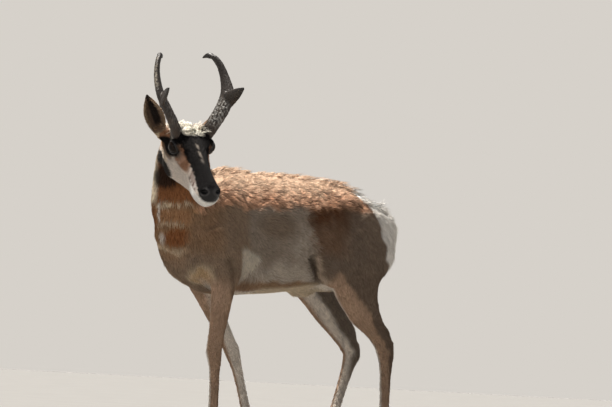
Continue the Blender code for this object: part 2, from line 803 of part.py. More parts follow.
def mane(neck, pieces, seed=3):
    """Overlapping locks in rows down the nape, set from the withers up."""
    draw = random.Random(seed)
    skin = surface(neck)
    made = []
    sizes = (MANE_WIDTH, MANE_THICKNESS, MANE_LIFT)
    for row in range(MANE_ROWS):
        for column in range(MANE_COLUMNS):
            t = (row + 0.5 * (column % 2) + draw.uniform(-0.15, 0.15)) / (MANE_ROWS - 0.5)
            t = min(max(t, 0), 1)
            centre, out = nape_at(t)
            down = (nape_at(max(t - 0.1, 0))[0] - nape_at(min(t + 0.1, 1))[0]).normalized()
            swing = (column - (MANE_COLUMNS - 1) / 2) * MANE_SPREAD
            out = Matrix.Rotation(swing, 3, down) @ out
            root, normal = skin.ray_cast(centre, out)[:2]
            if root is None:
                continue
            length = MANE_LENGTH * draw.uniform(0.85, 1.15)
            lie = down + out.cross(down) * draw.uniform(-0.2, 0.2)
            made.append(lock(root, normal, lie, length, *sizes, pieces))
    return made


# Roots of the crown's tuft in head coordinates: forward, left
CROWN_ROOTS = (
    (0.024, -0.014),
    (0.024, 0.014),
    (0.040, -0.026),
    (0.042, 0.000),
    (0.040, 0.026),
    (0.056, -0.013),
    (0.056, 0.013),
    (0.068, -0.026),
    (0.072, 0.000),
    (0.068, 0.026),
    (0.084, -0.012),
    (0.084, 0.012),
)
CROWN_LENGTH = 0.040
CROWN_WIDTH = 0.028
CROWN_THICKNESS = 0.010
CROWN_LIFT = 0.003
CROWN_ROOT_DEPTH = 0.008
CROWN_FAN = 14
CROWN_RISE = 0.62


def crown_tuft(head, pieces, seed=5):
    """Short upright locks between the horns that lean towards the brow."""
    draw = random.Random(seed)
    skin = surface(head)
    place = head_matrix()
    turned = place.to_3x3().normalized()
    made = []
    for forward, left in CROWN_ROOTS:
        above = place @ Vector((forward, left, HEAD_LENGTH))
        root = skin.ray_cast(above, turned @ Vector((0, 0, -1)))[0]
        rise = CROWN_RISE + draw.uniform(-0.15, 0.15)
        lean = (turned @ Vector((1.0, left * CROWN_FAN, rise))).normalized()
        length = CROWN_LENGTH * draw.uniform(0.85, 1.15)
        made.append(upright_lock(root, lean, length, pieces))
    return made


def upright_lock(root, lean, length, pieces):
    """A lock that stands up along its lean, broad across the head."""
    across = head_matrix().to_3x3().normalized() @ Vector((0, 1, 0))
    broad = lean.cross(across).normalized()
    start = root - lean * CROWN_ROOT_DEPTH
    sizes = (length, CROWN_WIDTH, CROWN_THICKNESS, CROWN_LIFT)
    return lock(start, broad, lean, *sizes, pieces)


# Parting the flesh

# Points and normals of the planes, each normal towards the part it belongs to
NECK_PLANE = (Vector((0.300, 0.0, 0.860)), Vector((0.80, 0.0, 0.60)))
HEAD_PLANES = (
    (Vector((0.000, 0.0, -0.080)), Vector((0.917, 0.0, 0.400))),
    (Vector((0.060, 0.0, -0.0805)), Vector((0.0, 0.0, 1.0))),
)
LEFT_OF_HEAD = (Vector((0.365, 0, 0)), Vector((1.0, 0, 0)))
LEG_PLANES = {
    "foreleg": (
        (Vector((0.20, 0.036, 0.500)), Vector((0.0, 0.23, -0.085))),
        (Vector((0.130, 0.0, 0.600)), Vector((1.0, 0.0, -0.30))),
        (Vector((0.355, 0.0, 0.600)), Vector((-1.0, 0.0, 0.10))),
    ),
    "hindleg": (
        (Vector((-0.30, 0.030, 0.545)), Vector((0.0, 0.25, -0.095))),
        (Vector((-0.160, 0.0, 0.560)), Vector((-1.0, 0.0, -0.30))),
    ),
}
RIGHT_FORELEG_BACK = Vector((-0.060, 0, 0))
BELLY_HEIGHT = 0.40


def leg_planes(leg):
    """The planes that bound a leg, mirrored to its side."""
    planes = []
    for number, (point, normal) in enumerate(LEG_PLANES[leg.split("_")[0]]):
        point, normal = point.copy(), normal.normalized()
        if leg == "foreleg_right" and number == 1:
            point += RIGHT_FORELEG_BACK
        if side_of(leg) < 0:
            point.y, normal.y = -point.y, -normal.y
        planes.append((point, normal))
    return planes


def head_planes():
    """Behind the jaw and poll, under the jaw, and clear of the withers."""
    place = head_matrix()
    planes = [LEFT_OF_HEAD]
    for point, normal in HEAD_PLANES:
        planes.append((place @ point, (place.to_3x3() @ normal).normalized()))
    return planes


def part_from(flesh, name, planes, parts, margin=0.02):
    """The stretch of flesh beyond all the planes, thinned out before the exact cut."""
    made = copy_object(flesh, name, parts)
    for point, normal in planes:
        keep_beyond(made, point - normal * margin, normal)
    thin_out(made, NODE_TRIANGLES[name])
    for point, normal in planes:
        keep_beyond(made, point + normal * GAP / 2, normal)
    return made


BLOCK_SIZE = 4.0


def wedge(planes, cutters):
    """A large block that fills the room beyond all the planes."""
    work = bmesh.new()
    bmesh.ops.create_cube(work, size=BLOCK_SIZE)
    mesh = bpy.data.meshes.new("wedge")
    work.to_mesh(mesh)
    work.free()
    block = bpy.data.objects.new("wedge", mesh)
    cutters.objects.link(block)
    for point, normal in planes:
        keep_beyond(block, point - normal * GAP / 2, normal)
    return block


def flip(plane):
    return plane[0], -plane[1]


def trim_mane(neck, cutters):
    """Cuts back the locks that would reach over the withers or the head."""
    normal = NECK_PLANE[1].normalized()
    keep_beyond(neck, NECK_PLANE[0] + normal * GAP / 2, normal)
    boolean(neck, [wedge(head_planes(), cutters)], "DIFFERENCE")


def blend_muscles(flesh):
    """Smooths the trunk and the tops of the legs further than the head and the shanks."""
    group = flesh.vertex_groups.new(name="muscles")
    away = head_matrix().inverted()
    for vert in flesh.data.vertices:
        low = (vert.co.z - 0.44) / 0.10
        head = (-0.015 - (away @ vert.co).x) / 0.03
        in_front = 1.0 if vert.co.x < 0.34 else 0.0
        group.add([vert.index], min(max(min(low, max(head, in_front)), 0), 1), "REPLACE")
    blend = flesh.modifiers.new("blend", "SMOOTH")
    blend.iterations = TRUNK_SMOOTHING
    blend.vertex_group = "muscles"
    apply_modifiers(flesh)


def build_flesh(parts, pieces, cutters):
    """Fuses the animal whole and parts it into torso, neck, head and legs."""
    bodies = trunk_pieces(pieces) + leg_pieces(pieces) + head_pieces(pieces)
    flesh = join_meshes("flesh", bodies, pieces)
    fuse = flesh.modifiers.new("fuse", "REMESH")
    fuse.mode = "VOXEL"
    fuse.voxel_size = VOXEL
    soften = flesh.modifiers.new("soften", "SMOOTH")
    soften.iterations = SMOOTHING
    apply_modifiers(flesh)
    blend_muscles(flesh)
    neck_plane = (NECK_PLANE[0], NECK_PLANE[1].normalized())
    made = {
        "head": part_from(flesh, "head", head_planes(), parts),
        "neck": part_from(flesh, "neck", [neck_plane], parts),
        "torso": part_from(flesh, "torso", [flip(neck_plane), belly_plane()], parts),
    }
    boolean(made["neck"], [wedge(head_planes(), cutters)], "DIFFERENCE")
    blocks = [wedge(leg_planes(leg), cutters) for leg in POSES]
    boolean(made["torso"], blocks, "DIFFERENCE")
    for leg in POSES:
        planes = leg_planes(leg) + [flip(neck_plane), hoof_plane(leg)]
        made[leg] = part_from(flesh, leg, planes, parts)
    remove([flesh])
    return made


def belly_plane():
    """Below the belly there are only legs."""
    return Vector((0, 0, BELLY_HEIGHT)), Vector((0, 0, 1))


def hoof_plane(leg):
    """The plane of the hooves' upper rims, with the leg above it."""
    slope = crown_height(1.0) - crown_height(0.0)
    point = foot_centre(leg) + Vector((0, 0, crown_height(0.0) + GAP / 2))
    return point, Vector((-slope, 0, 1)).normalized()


# Finishes: colour, roughness

FINISHES = {
    "tan_coat": ((0.42, 0.27, 0.16), 0.85),
    "rust_neck": ((0.36, 0.20, 0.11), 0.85),
    "dark_face": ((0.10, 0.075, 0.06), 0.8),
    "tan_leg": ((0.40, 0.28, 0.19), 0.85),
    "tan_ear": ((0.30, 0.21, 0.15), 0.85),
    "black_horn": ((0.035, 0.028, 0.024), 0.45),
    "dark_eye": ((0.01, 0.008, 0.008), 0.08),
    "black_hoof": ((0.03, 0.027, 0.025), 0.5),
    "white_tail": ((0.62, 0.56, 0.48), 0.85),
}
FINISH_OF = {
    "torso": "tan_coat",
    "neck": "rust_neck",
    "head": "dark_face",
    "tail": "white_tail",
    "foreleg": "tan_leg",
    "hindleg": "tan_leg",
    "ear": "tan_ear",
    "horn": "black_horn",
    "eye": "dark_eye",
    "hoof": "black_hoof",
}


def finish(name):
    material = bpy.data.materials.get(name)
    if material:
        return material
    colour, roughness = FINISHES[name]
    material = bpy.data.materials.new(name)
    material.use_nodes = True
    shader = material.node_tree.nodes["Principled BSDF"]
    shader.inputs["Base Color"].default_value = (*colour, 1)
    shader.inputs["Roughness"].default_value = roughness
    return material


def give_finishes(parts):
    for obj in parts.objects:
        obj.data.materials.clear()
        obj.data.materials.append(finish(FINISH_OF[obj.name.split("_")[0]]))


def stand_on_origin(parts):
    """Moves the animal so that the middle of its box's underside is the origin."""
    points = [vert.co for obj in parts.objects for vert in obj.data.vertices]
    low = Vector([min(point[axis] for point in points) for axis in range(3)])
    high = Vector([max(point[axis] for point in points) for axis in range(3)])
    middle = (low + high) / 2
    move(parts.objects, Matrix.Translation((-middle.x, -middle.y, -low.z)))


def main():
    clear_scene()
    parts = new_collection("pronghorn")
    pieces = new_collection("pieces")
    cutters = new_collection("cutters")
    made = build_flesh(parts, pieces, cutters)
    made["tail"] = tail("tail", parts)
    boolean(made["torso"], [tail("socket", cutters, grow=GAP)], "DIFFERENCE")
    boolean(made["neck"], mane(made["neck"], pieces), "UNION")
    trim_mane(made["neck"], cutters)
    sockets = []
    for name, side in (("left", 1), ("right", -1)):
        horn("horn_" + name, side, parts)
        ear("ear_" + name, parts, cutters)
        sockets += [horn_socket(side, cutters), ear_socket("ear_" + name, cutters)]
        eyeball("eye_" + name, side, parts)
    boolean(made["head"], crown_tuft(made["head"], pieces), "UNION")
    cut_face(made["head"], pieces, cutters)
    boolean(made["head"], sockets, "DIFFERENCE")
    for leg in POSES:
        for name, side in (("left", 1), ("right", -1)):
            claw("hoof_" + leg + "_" + name, leg, side, parts)
    give_finishes(parts)
    stand_on_origin(parts)


main()
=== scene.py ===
# %% [markdown]
# # A pronghorn buck, life size
# The animal stands still with its head turned to its left. Its solids are loaded first and stay
# where they are. Everything that is seen, skin, coat, horns, eyes and hooves, is made here around
# them, in the same metres. Large meshes are worked on as numpy arrays, because the coat has over
# a hundred thousand tufts and Python is too slow to visit them one at a time.

# %% Load the solids
import math

import bmesh
import bpy
import numpy as np
from mathutils import Matrix, Quaternion, Vector
from mathutils.bvhtree import BVHTree
from mathutils.kdtree import KDTree


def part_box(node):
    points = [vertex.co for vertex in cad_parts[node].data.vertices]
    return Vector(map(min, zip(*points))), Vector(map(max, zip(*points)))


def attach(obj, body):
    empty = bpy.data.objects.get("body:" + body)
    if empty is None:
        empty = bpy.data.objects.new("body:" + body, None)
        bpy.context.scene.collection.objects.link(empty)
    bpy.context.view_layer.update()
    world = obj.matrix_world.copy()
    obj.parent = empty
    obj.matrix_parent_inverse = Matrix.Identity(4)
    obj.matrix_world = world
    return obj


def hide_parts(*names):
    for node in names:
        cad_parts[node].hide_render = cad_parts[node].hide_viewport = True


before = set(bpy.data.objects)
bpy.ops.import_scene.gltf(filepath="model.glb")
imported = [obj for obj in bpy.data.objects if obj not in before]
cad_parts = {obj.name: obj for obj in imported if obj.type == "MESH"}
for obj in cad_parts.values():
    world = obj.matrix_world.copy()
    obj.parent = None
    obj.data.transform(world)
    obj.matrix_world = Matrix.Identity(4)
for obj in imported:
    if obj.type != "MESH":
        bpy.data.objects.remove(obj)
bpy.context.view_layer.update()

# %% [markdown]
# The head is turned and pitched, so its own directions are handy: forward along the muzzle, left,
# and up out of the forehead. The solids name the same place for the nape and the same three
# angles. The model stands with its box centred on the origin, and the eyes tell how far that
# moved it: their middles are known in head coordinates and can be measured on the solids.

# %% Named places
NAPE = Vector((0.454, 0.070, 0.958))
HEAD_TURN = math.radians(74)
HEAD_PITCH = math.radians(38)
HEAD_ROLL = math.radians(6)
EYE = Vector((0.108, 0.0510, 0.042))
EYE_RADIUS = 0.0212
SIDES = {"left": 1, "right": -1}

head_turned = (
    Matrix.Rotation(HEAD_TURN, 4, "Z")
    @ Matrix.Rotation(HEAD_PITCH, 4, "Y")
    @ Matrix.Rotation(HEAD_ROLL, 4, "X")
)
shift = Vector((0, 0, 0))
for name, side in SIDES.items():
    low, high = (Vector(corner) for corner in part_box("eye_" + name))
    expected = NAPE + head_turned.to_3x3() @ Vector((EYE.x, side * EYE.y, EYE.z))
    shift += ((low + high) / 2 - expected) / 2
head_place = Matrix.Translation(NAPE + shift) @ head_turned
HEAD_AXES = np.array(head_place.to_3x3())
HEAD_ORIGIN = np.array(head_place.translation)
SHIFT = np.array(shift)
print("shift", [round(value, 4) for value in shift])


def to_head(points):
    return (points - HEAD_ORIGIN) @ HEAD_AXES


def from_head(points):
    return np.asarray(points, float) @ HEAD_AXES.T + HEAD_ORIGIN


# %% [markdown]
# The camera comes early, because every later step is judged through it. The photo was taken with
# a long lens from low down, about nine and a half metres away, towards the animal's left front.
# The lens is chosen so that a metre at the trunk is 325 pixels, and the camera is then pitched
# and turned until the animal sits where it does in the frame.

# %% Camera
PHOTO_WIDTH, PHOTO_HEIGHT = 612, 407
VIEW_ANGLE = math.radians(43)
DISTANCE = 9.5
PIXELS_PER_METRE = 325.0
CAMERA_HEIGHT = 0.30
GROUND_LINE = 466.0
ANIMAL_COLUMN = 270.0
FRONT_FOOT_DEPTH = 0.26
CAMERA_ROLL = math.radians(3)
SENSOR = 36.0


def add_object(name, data):
    """A new object in the scene that shows the given data."""
    made = bpy.data.objects.new(name, data)
    bpy.context.scene.collection.objects.link(made)
    return made


towards_camera = Vector((math.sin(VIEW_ANGLE), math.cos(VIEW_ANGLE), 0))
camera_right = Vector((-math.cos(VIEW_ANGLE), math.sin(VIEW_ANGLE), 0))
focal = PIXELS_PER_METRE * DISTANCE
horizon = GROUND_LINE - focal / (DISTANCE - FRONT_FOOT_DEPTH) * CAMERA_HEIGHT
pitch = math.atan((horizon - PHOTO_HEIGHT / 2) / focal)
yaw = math.atan((PHOTO_WIDTH / 2 - ANIMAL_COLUMN) / focal)
look = (-towards_camera + camera_right * math.tan(yaw)).normalized()
look = (look + Vector((0, 0, math.tan(pitch)))).normalized()

lens = bpy.data.cameras.new("camera")
lens.sensor_width = SENSOR
lens.lens = focal * SENSOR / PHOTO_WIDTH
camera = add_object("camera", lens)
camera.location = shift + towards_camera * DISTANCE + Vector((0, 0, CAMERA_HEIGHT))
camera.rotation_mode = "QUATERNION"
rolled = Quaternion((0, 0, 1), CAMERA_ROLL)
camera.rotation_quaternion = look.to_track_quat("-Z", "Y") @ rolled
bpy.context.scene.camera = camera
print("lens", round(lens.lens, 1), "mm at", [round(value, 2) for value in camera.location])

# %% [markdown]
# Shader maths reads better as sums than as a web of nodes. This small class wraps one socket of
# a material, and its operators add the Math nodes. Colours go through Mix nodes, and any other
# node comes from one method, `node`.

# %% Shader helpers


class Wire:
    """A socket of a material, with operators that add Math nodes."""

    def __init__(self, tree, socket):
        self.tree, self.socket = tree, socket

    def node(self, kind, settings=None, inputs=None, output=0):
        made = self.tree.nodes.new("ShaderNode" + kind)
        for key, value in (settings or {}).items():
            setattr(made, key, value)
        for key, value in (inputs or {}).items():
            if isinstance(value, Wire):
                self.tree.links.new(value.socket, made.inputs[key])
            else:
                made.inputs[key].default_value = value
        return Wire(self.tree, made.outputs[output])

    def math(self, operation, *values):
        return self.node("Math", {"operation": operation}, dict(enumerate(values)))

    def __add__(self, other):
        return self.math("ADD", self, other)

    def __rsub__(self, other):
        return self.math("SUBTRACT", other, self)

    def __mul__(self, other):
        return self.math("MULTIPLY", self, other)

    __radd__, __rmul__ = __add__, __mul__

    def step(self, low, high):
        """Rises smoothly from 0 to 1 between two values."""
        ends = {"Value": self, "From Min": low, "From Max": high}
        return self.node("MapRange", {"interpolation_type": "SMOOTHSTEP"}, ends)

    def mix(self, low, high):
        """Goes from one colour to another as this value goes from 0 to 1."""
        colours = {"Factor": self, 6: low, 7: high}
        return self.node("Mix", {"data_type": "RGBA"}, colours, output=2)

    def own_place(self):
        """The place in the piece's own coordinates."""
        return self.node("TexCoord", output=3)

    def stored(self, name, output=0):
        """What a piece stores at its points: output 0 gives a colour and 2 a number."""
        return self.node("Attribute", {"attribute_name": name}, output=output)


def new_finish(name, roughness=0.8, **sockets):
    """A material with its Principled shader's fixed values set, and a wire to build on."""
    material = bpy.data.materials.new(name)
    material.use_nodes = True
    shader = material.node_tree.nodes["Principled BSDF"]
    shader.inputs["Roughness"].default_value = roughness
    for key, value in sockets.items():
        shader.inputs[key.replace("_", " ")].default_value = value
    start = Wire(material.node_tree, shader.outputs[0])
    return material, start, shader


def feed(shader, socket, wire):
    wire.tree.links.new(wire.socket, shader.inputs[socket])


def bump(start, height, strength, distance):
    values = {"Strength": strength, "Distance": distance, "Height": height}
    return start.node("Bump", None, values)


def paint(*levels):
    """A colour in the shader's own linear light, from the levels 0 to 255 that a screen shows."""
    share = np.array(levels, float) / 255
    return np.where(share <= 0.04045, share / 12.92, ((share + 0.055) / 1.055) ** 2.4)


def rgba(*levels):
    return (*paint(*levels), 1.0)


print("a screen's middle grey is", np.round(paint(128, 128, 128), 2), "in linear light")

# %% [markdown]
# The floor is a plain pale disc that runs out to the horizon. The air has the same pale tone low
# down, like a studio's sweep, and is dimmer overhead, so that the shaded side stays in shade.
# The photo's light comes from high up and a little behind, which a broad sun lamp repeats, and
# a weak round lamp on the camera's side gives the eyes and nose their catchlights.

# %% Stage and lights
FLOOR_RADIUS = 40.0
FLOOR_TONES = rgba(142, 140, 137), rgba(138, 136, 133)
AIR_LOW = rgba(214, 209, 202)
AIR_HIGH = rgba(138, 141, 147)
# Where the air's low tone ends and its high tone begins, from 0 at the horizon to 1 overhead
AIR_FROM, AIR_TO = 0.14, 0.42
SUN_STRENGTH, SUN_WIDTH = 7.2, math.radians(12)
SUN_TONE = (1.0, 0.955, 0.89)
SUN_BEHIND, SUN_LEFT, SUN_HEIGHT = 0.34, 0.55, 2.5
CATCHLIGHT_POWER, CATCHLIGHT_WIDTH = 12, 1.2
CATCHLIGHT_NEAR, CATCHLIGHT_LEFT, CATCHLIGHT_HEIGHT = 3.6, 1.6, 1.9
CHEST = (0, 0, 0.7)


def add_floor():
    bpy.ops.object.select_all(action="DESELECT")
    sizes = {"vertices": 96, "radius": FLOOR_RADIUS, "fill_type": "NGON"}
    bpy.ops.mesh.primitive_circle_add(**sizes, location=(0, 0, 0))
    made = bpy.context.object
    made.name = "floor"
    material, start, shader = new_finish("pale_floor", 0.9)
    place = start.own_place()
    grain = start.node("TexNoise", None, {"Vector": place, "Scale": 3.0, "Detail": 2.0})
    feed(shader, "Base Color", grain.step(0.3, 0.7).mix(*FLOOR_TONES))
    made.data.materials.append(material)


def add_air():
    air = bpy.data.worlds.new("air")
    air.use_nodes = True
    glow = air.node_tree.nodes["Background"]
    start = Wire(air.node_tree, glow.outputs[0])
    direction = start.node("TexCoord", output=0)
    height = start.node("SeparateXYZ", None, {"Vector": direction}, output=2)
    tone = height.step(AIR_FROM, AIR_TO).mix(AIR_LOW, AIR_HIGH)
    air.node_tree.links.new(tone.socket, glow.inputs["Color"])
    bpy.context.scene.world = air


def add_lamp(name, kind, place, target, tone, **settings):
    lamp = bpy.data.lights.new(name, kind)
    lamp.color = tone
    for key, value in settings.items():
        setattr(lamp, key, value)
    made = add_object(name, lamp)
    made.location = place
    made.rotation_euler = (Vector(target) - Vector(place)).to_track_quat("-Z", "Y").to_euler()


add_floor()
add_air()
high = -towards_camera * SUN_BEHIND - camera_right * SUN_LEFT + Vector((0, 0, SUN_HEIGHT))
add_lamp("sun", "SUN", high, (0, 0, 0), SUN_TONE, energy=SUN_STRENGTH, angle=SUN_WIDTH)
near = towards_camera * CATCHLIGHT_NEAR - camera_right * CATCHLIGHT_LEFT
near = near + Vector((0, 0, CATCHLIGHT_HEIGHT))
round_lamp = {"shape": "DISK", "size": CATCHLIGHT_WIDTH, "energy": CATCHLIGHT_POWER}
add_lamp("catchlight", "AREA", near, CHEST, (1, 1, 1), **round_lamp)
bpy.context.scene.view_settings.view_transform = "Standard"
print("stage ready")

# %% [markdown]
# Large meshes are read into arrays and written back whole. Smoothing is done there too: each
# point moves halfway to the middle of its neighbours and then a little further back, which takes
# the facets off without making thin legs thinner.

# %% Array helpers


def points_of(obj):
    points = np.empty(len(obj.data.vertices) * 3)
    obj.data.vertices.foreach_get("co", points)
    return points.reshape(-1, 3)


def set_points(obj, points):
    obj.data.vertices.foreach_set("co", np.asarray(points, float).ravel())
    obj.data.update()


def normals_of(obj):
    normals = np.empty(len(obj.data.vertices) * 3)
    obj.data.vertex_normals.foreach_get("vector", normals)
    return normals.reshape(-1, 3)


def edges_of(obj):
    edges = np.empty(len(obj.data.edges) * 2, dtype=np.int64)
    obj.data.edges.foreach_get("vertices", edges)
    return edges.reshape(-1, 2)


def neighbours_mean(values, edges, count):
    mean = np.empty_like(values)
    for axis in range(values.shape[1]):
        total = np.bincount(edges[:, 0], values[edges[:, 1], axis], len(values))
        total += np.bincount(edges[:, 1], values[edges[:, 0], axis], len(values))
        mean[:, axis] = total / count
    return mean


def smooth(values, edges, rounds, weight=1.0, back=-0.53):
    """Evens out the values of neighbouring points. With back at 0 thin parts shrink as well."""
    count = np.maximum(np.bincount(edges.ravel(), minlength=len(values)), 1)
    weight = np.broadcast_to(weight, len(values))[:, None]
    for _ in range(rounds):
        for share in (0.5, back):
            if share:
                values = values + (neighbours_mean(values, edges, count) - values) * share * weight
    return values


print("an even point stays put:", smooth(np.ones((2, 1)), np.array([[0, 1]]), 1).ravel())

# %% [markdown]
# A marking, a muscle or a bald patch is a soft mask: a number from 0 to 1 at each point. Three
# kinds do most of the work. One rises between two values, one is a soft line round a value, and
# one is an egg. A random ripple, made of a few waves that run in random directions, makes their
# edges uneven, and its last number picks the directions.

# %% Soft masks


def unit(vectors):
    return vectors / np.maximum(np.linalg.norm(vectors, axis=-1, keepdims=True), 1e-9)


def rise(value, low, high):
    """Rises smoothly from 0 to 1 between two values, or falls where low is the larger."""
    share = np.clip((value - low) / (high - low), 0, 1)
    return share * share * (3 - 2 * share)


def band(value, middle, width):
    """1 where the value is at the middle and 0 away from it, like a soft line."""
    return np.exp(-(((value - middle) / width) ** 2))


def blob(points, centre, radii, edge=0.3):
    """1 inside a soft egg and 0 outside."""
    away = np.linalg.norm((points - np.array(centre)) / np.array(radii), axis=1)
    return rise(away, 1 + edge / 2, 1 - edge / 2)


def ripple(points, size, seed, waves=7):
    """A soft random pattern between about -1 and 1, with features of about the given size."""
    draw = np.random.default_rng(seed)
    total = np.zeros(len(points))
    for _ in range(waves):
        way = unit(draw.normal(size=3)) * 2 * math.pi / (size * draw.uniform(0.7, 1.6))
        total += np.sin(points @ way + draw.uniform(0, 2 * math.pi))
    return total / math.sqrt(waves)


print("halfway up a rise:", rise(0.5, 0, 1), "and one width off a band:", round(band(1, 0, 1), 2))

# %% [markdown]
# An operator acts on all that is selected, so each is given one object alone. Modifiers are
# applied at once, because the arrays read the finished mesh.

# %% Object helpers


def only(obj):
    bpy.ops.object.select_all(action="DESELECT")
    obj.select_set(True)
    bpy.context.view_layer.objects.active = obj


def apply_modifiers(obj):
    only(obj)
    for step in list(obj.modifiers):
        bpy.ops.object.modifier_apply(modifier=step.name)
    return obj


def shade_soft(obj):
    only(obj)
    bpy.ops.object.shade_smooth()


def triangles_of(obj):
    return sum(len(face.vertices) - 2 for face in obj.data.polygons)


print("the torso's solid has", triangles_of(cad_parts["torso"]), "triangles")

# %% [markdown]
# On the real animal one hide runs over trunk, neck, head and legs. Copies of those solids are
# pushed out by a little over half a millimetre so that they overlap, and a voxel remesh then
# melts them into one closed surface with no seam. Eggs at the eyes, ears, horns, nostrils and
# mouth fill the sockets that the solids have there.

# %% One hide over the flesh
LEGS = ("foreleg_left", "foreleg_right", "hindleg_left", "hindleg_right")
FLESH = ("torso", "neck", "head", "tail", *LEGS)
OVERLAP = 0.0006
SAME_POINT = 0.00001
HIDE_VOXEL = 0.0066
# Fillings in head coordinates: centre on the left side, radii
PLUGS = (
    ((0.108, 0.0505, 0.042), (0.0225, 0.0225, 0.0225)),
    ((0.086, 0.0480, 0.068), (0.0290, 0.0210, 0.0240)),
    ((0.018, 0.0560, 0.027), (0.0250, 0.0220, 0.0240)),
    ((0.292, 0.0165, 0.020), (0.0190, 0.0125, 0.0150)),
    ((0.268, 0.0080, -0.0265), (0.0340, 0.0120, 0.0060)),
    ((0.052, 0.0120, 0.036), (0.0560, 0.0300, 0.0300)),
)
# The skull's own line under the crown's locks: forward, up
CROWN_LINE = ((-0.03, 0.036), (0.0, 0.052), (0.045, 0.063), (0.085, 0.071), (0.125, 0.075))
CROWN_HALF_WIDTH = 0.040
CROWN_CURVE = 0.010
EGG_SIZES = {"u_segments": 24, "v_segments": 12, "radius": 1}


def lower_crown(part):
    """Presses the locks between the horns down to the skull."""
    points = np.array([vert.co for vert in part.verts])
    place = to_head(points)
    top = np.interp(place[:, 0], *np.array(CROWN_LINE).T)
    across = np.abs(place[:, 1]) / CROWN_HALF_WIDTH
    dome = top + 0.002 - CROWN_CURVE * across**2
    inside = (place[:, 0] > -0.04) & (place[:, 0] < 0.118) & (across < 1.15)
    place[:, 2] = np.where(inside, np.minimum(place[:, 2], dome), place[:, 2])
    for vert, point in zip(part.verts, from_head(place)):
        vert.co = point


def merged_flesh():
    work = bmesh.new()
    for name in FLESH:
        part = bmesh.new()
        part.from_mesh(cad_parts[name].data)
        bmesh.ops.remove_doubles(part, verts=part.verts, dist=SAME_POINT)
        part.normal_update()
        for vert in part.verts:
            vert.co += vert.normal * OVERLAP
        if name == "head":
            lower_crown(part)
        mesh = bpy.data.meshes.new("part")
        part.to_mesh(mesh)
        part.free()
        work.from_mesh(mesh)
        bpy.data.meshes.remove(mesh)
    for (forward, left, up), radii in PLUGS:
        for side in SIDES.values():
            egg = Matrix.Translation((forward, side * left, up)) @ Matrix.Diagonal((*radii, 1))
            bmesh.ops.create_uvsphere(work, matrix=head_place @ egg, **EGG_SIZES)
    mesh = bpy.data.meshes.new("hide")
    work.to_mesh(mesh)
    work.free()
    return add_object("hide", mesh)


def melt(obj, voxel):
    """Gives an object fine even faces in place of its facets."""
    step = obj.modifiers.new("melt", "REMESH")
    step.mode = "VOXEL"
    step.voxel_size = voxel
    return apply_modifiers(obj)


hide = melt(merged_flesh(), HIDE_VOXEL)
print("hide", len(hide.data.vertices), "points")

# %% [markdown]
# Each point of the hide has to know which part it lies on. The nearest solid tells, and the
# answers are evened out, so that a point near a seam belongs a little to both parts. Smoothing
# then takes off the facets, least on the head, tail and shanks, which are thin.

# %% Soft weights for the parts of the body
TRUNK_ROUNDS, FIRM_ROUNDS = 34, 6


def nearest_part(points):
    """The index in FLESH of the solid that lies nearest to each point."""
    work = bmesh.new()
    tags = []
    for index, name in enumerate(FLESH):
        work.from_mesh(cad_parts[name].data)
        tags += [index] * (len(work.faces) - len(tags))
    tree = BVHTree.FromBMesh(work)
    work.free()
    return np.array([tags[tree.find_nearest(Vector(point))[2]] for point in points])


def part_weights(points, edges, rounds):
    """How far each point belongs to each part, blended across the seams."""
    weights = np.eye(len(FLESH))[nearest_part(points)]
    return smooth(weights, edges, rounds, back=0)


def share_of(part, weights):
    return weights[:, FLESH.index(part)]


hide_points = points_of(hide)
hide_edges = edges_of(hide)
weights = part_weights(hide_points, hide_edges, 12)
body = hide_points - SHIFT
on_neck = share_of("neck", weights)
shank = rise(body[:, 2], 0.50, 0.38)
firm = np.maximum(np.maximum(share_of("head", weights), shank), share_of("tail", weights))
hide_points = smooth(hide_points, hide_edges, TRUNK_ROUNDS, 1 - firm)
hide_points = smooth(hide_points, hide_edges, FIRM_ROUNDS, firm)
set_points(hide, hide_points)
print("smoothed", len(hide_points), "points")

# %% [markdown]
# The nape still shows the lumps of its locks. The hide lies under them, so that stretch is
# smoothed again, this time in the way that lets lumps shrink, until it is round. The lower
# corners of the buttocks and the points of the hocks are rounded in the same way.

# %% Nape, crown, buttocks and hocks
NAPE_ROUNDS, BUTTOCK_ROUNDS, HOCK_ROUNDS = 40, 90, 45
NAPE_WAY, NAPE_FROM, NAPE_FLOOR = np.array([-0.85, 0.0, 0.52]), 0.02, 0.80
HOCKS = (-0.494, 0.089, 0.400), (-0.518, -0.089, 0.400)
HOCK_RADII = (0.044, 0.060, 0.040)
place = to_head(hide_points)
nape_zone = on_neck * (body @ NAPE_WAY > NAPE_FROM) * (body[:, 2] > NAPE_FLOOR)
crown_zone = blob(place, (0.055, 0, 0.062), (0.075, 0.055, 0.030)) * 0.8
lumpy = np.maximum(nape_zone, crown_zone)
hide_points = smooth(hide_points, hide_edges, NAPE_ROUNDS, lumpy, back=-0.3)
buttock = blob(body * (1, 0, 1), (-0.450, 0, 0.575), (0.070, 1, 0.060), 1.0)
hide_points = smooth(hide_points, hide_edges, BUTTOCK_ROUNDS, buttock, back=0)


def hock_share(body):
    """1 at the points of the two hocks, which are rounder than on the solids."""
    left, right = (blob(body, hock, HOCK_RADII, 1.2) for hock in HOCKS)
    return np.maximum(left, right)


hide_points = smooth(hide_points, hide_edges, HOCK_ROUNDS, hock_share(body), back=0)
set_points(hide, hide_points)
print("rounded", int((hock_share(body) > 0.5).sum()), "points at the hocks")

# %% [markdown]
# The eye's opening is a rounded slit on the ball of the eye. It is needed three times, for
# finer faces, for the lids and for the bare skin on their rims, so it is one function. The slit
# is measured by angle from the eye's own middle, along and across its long way.

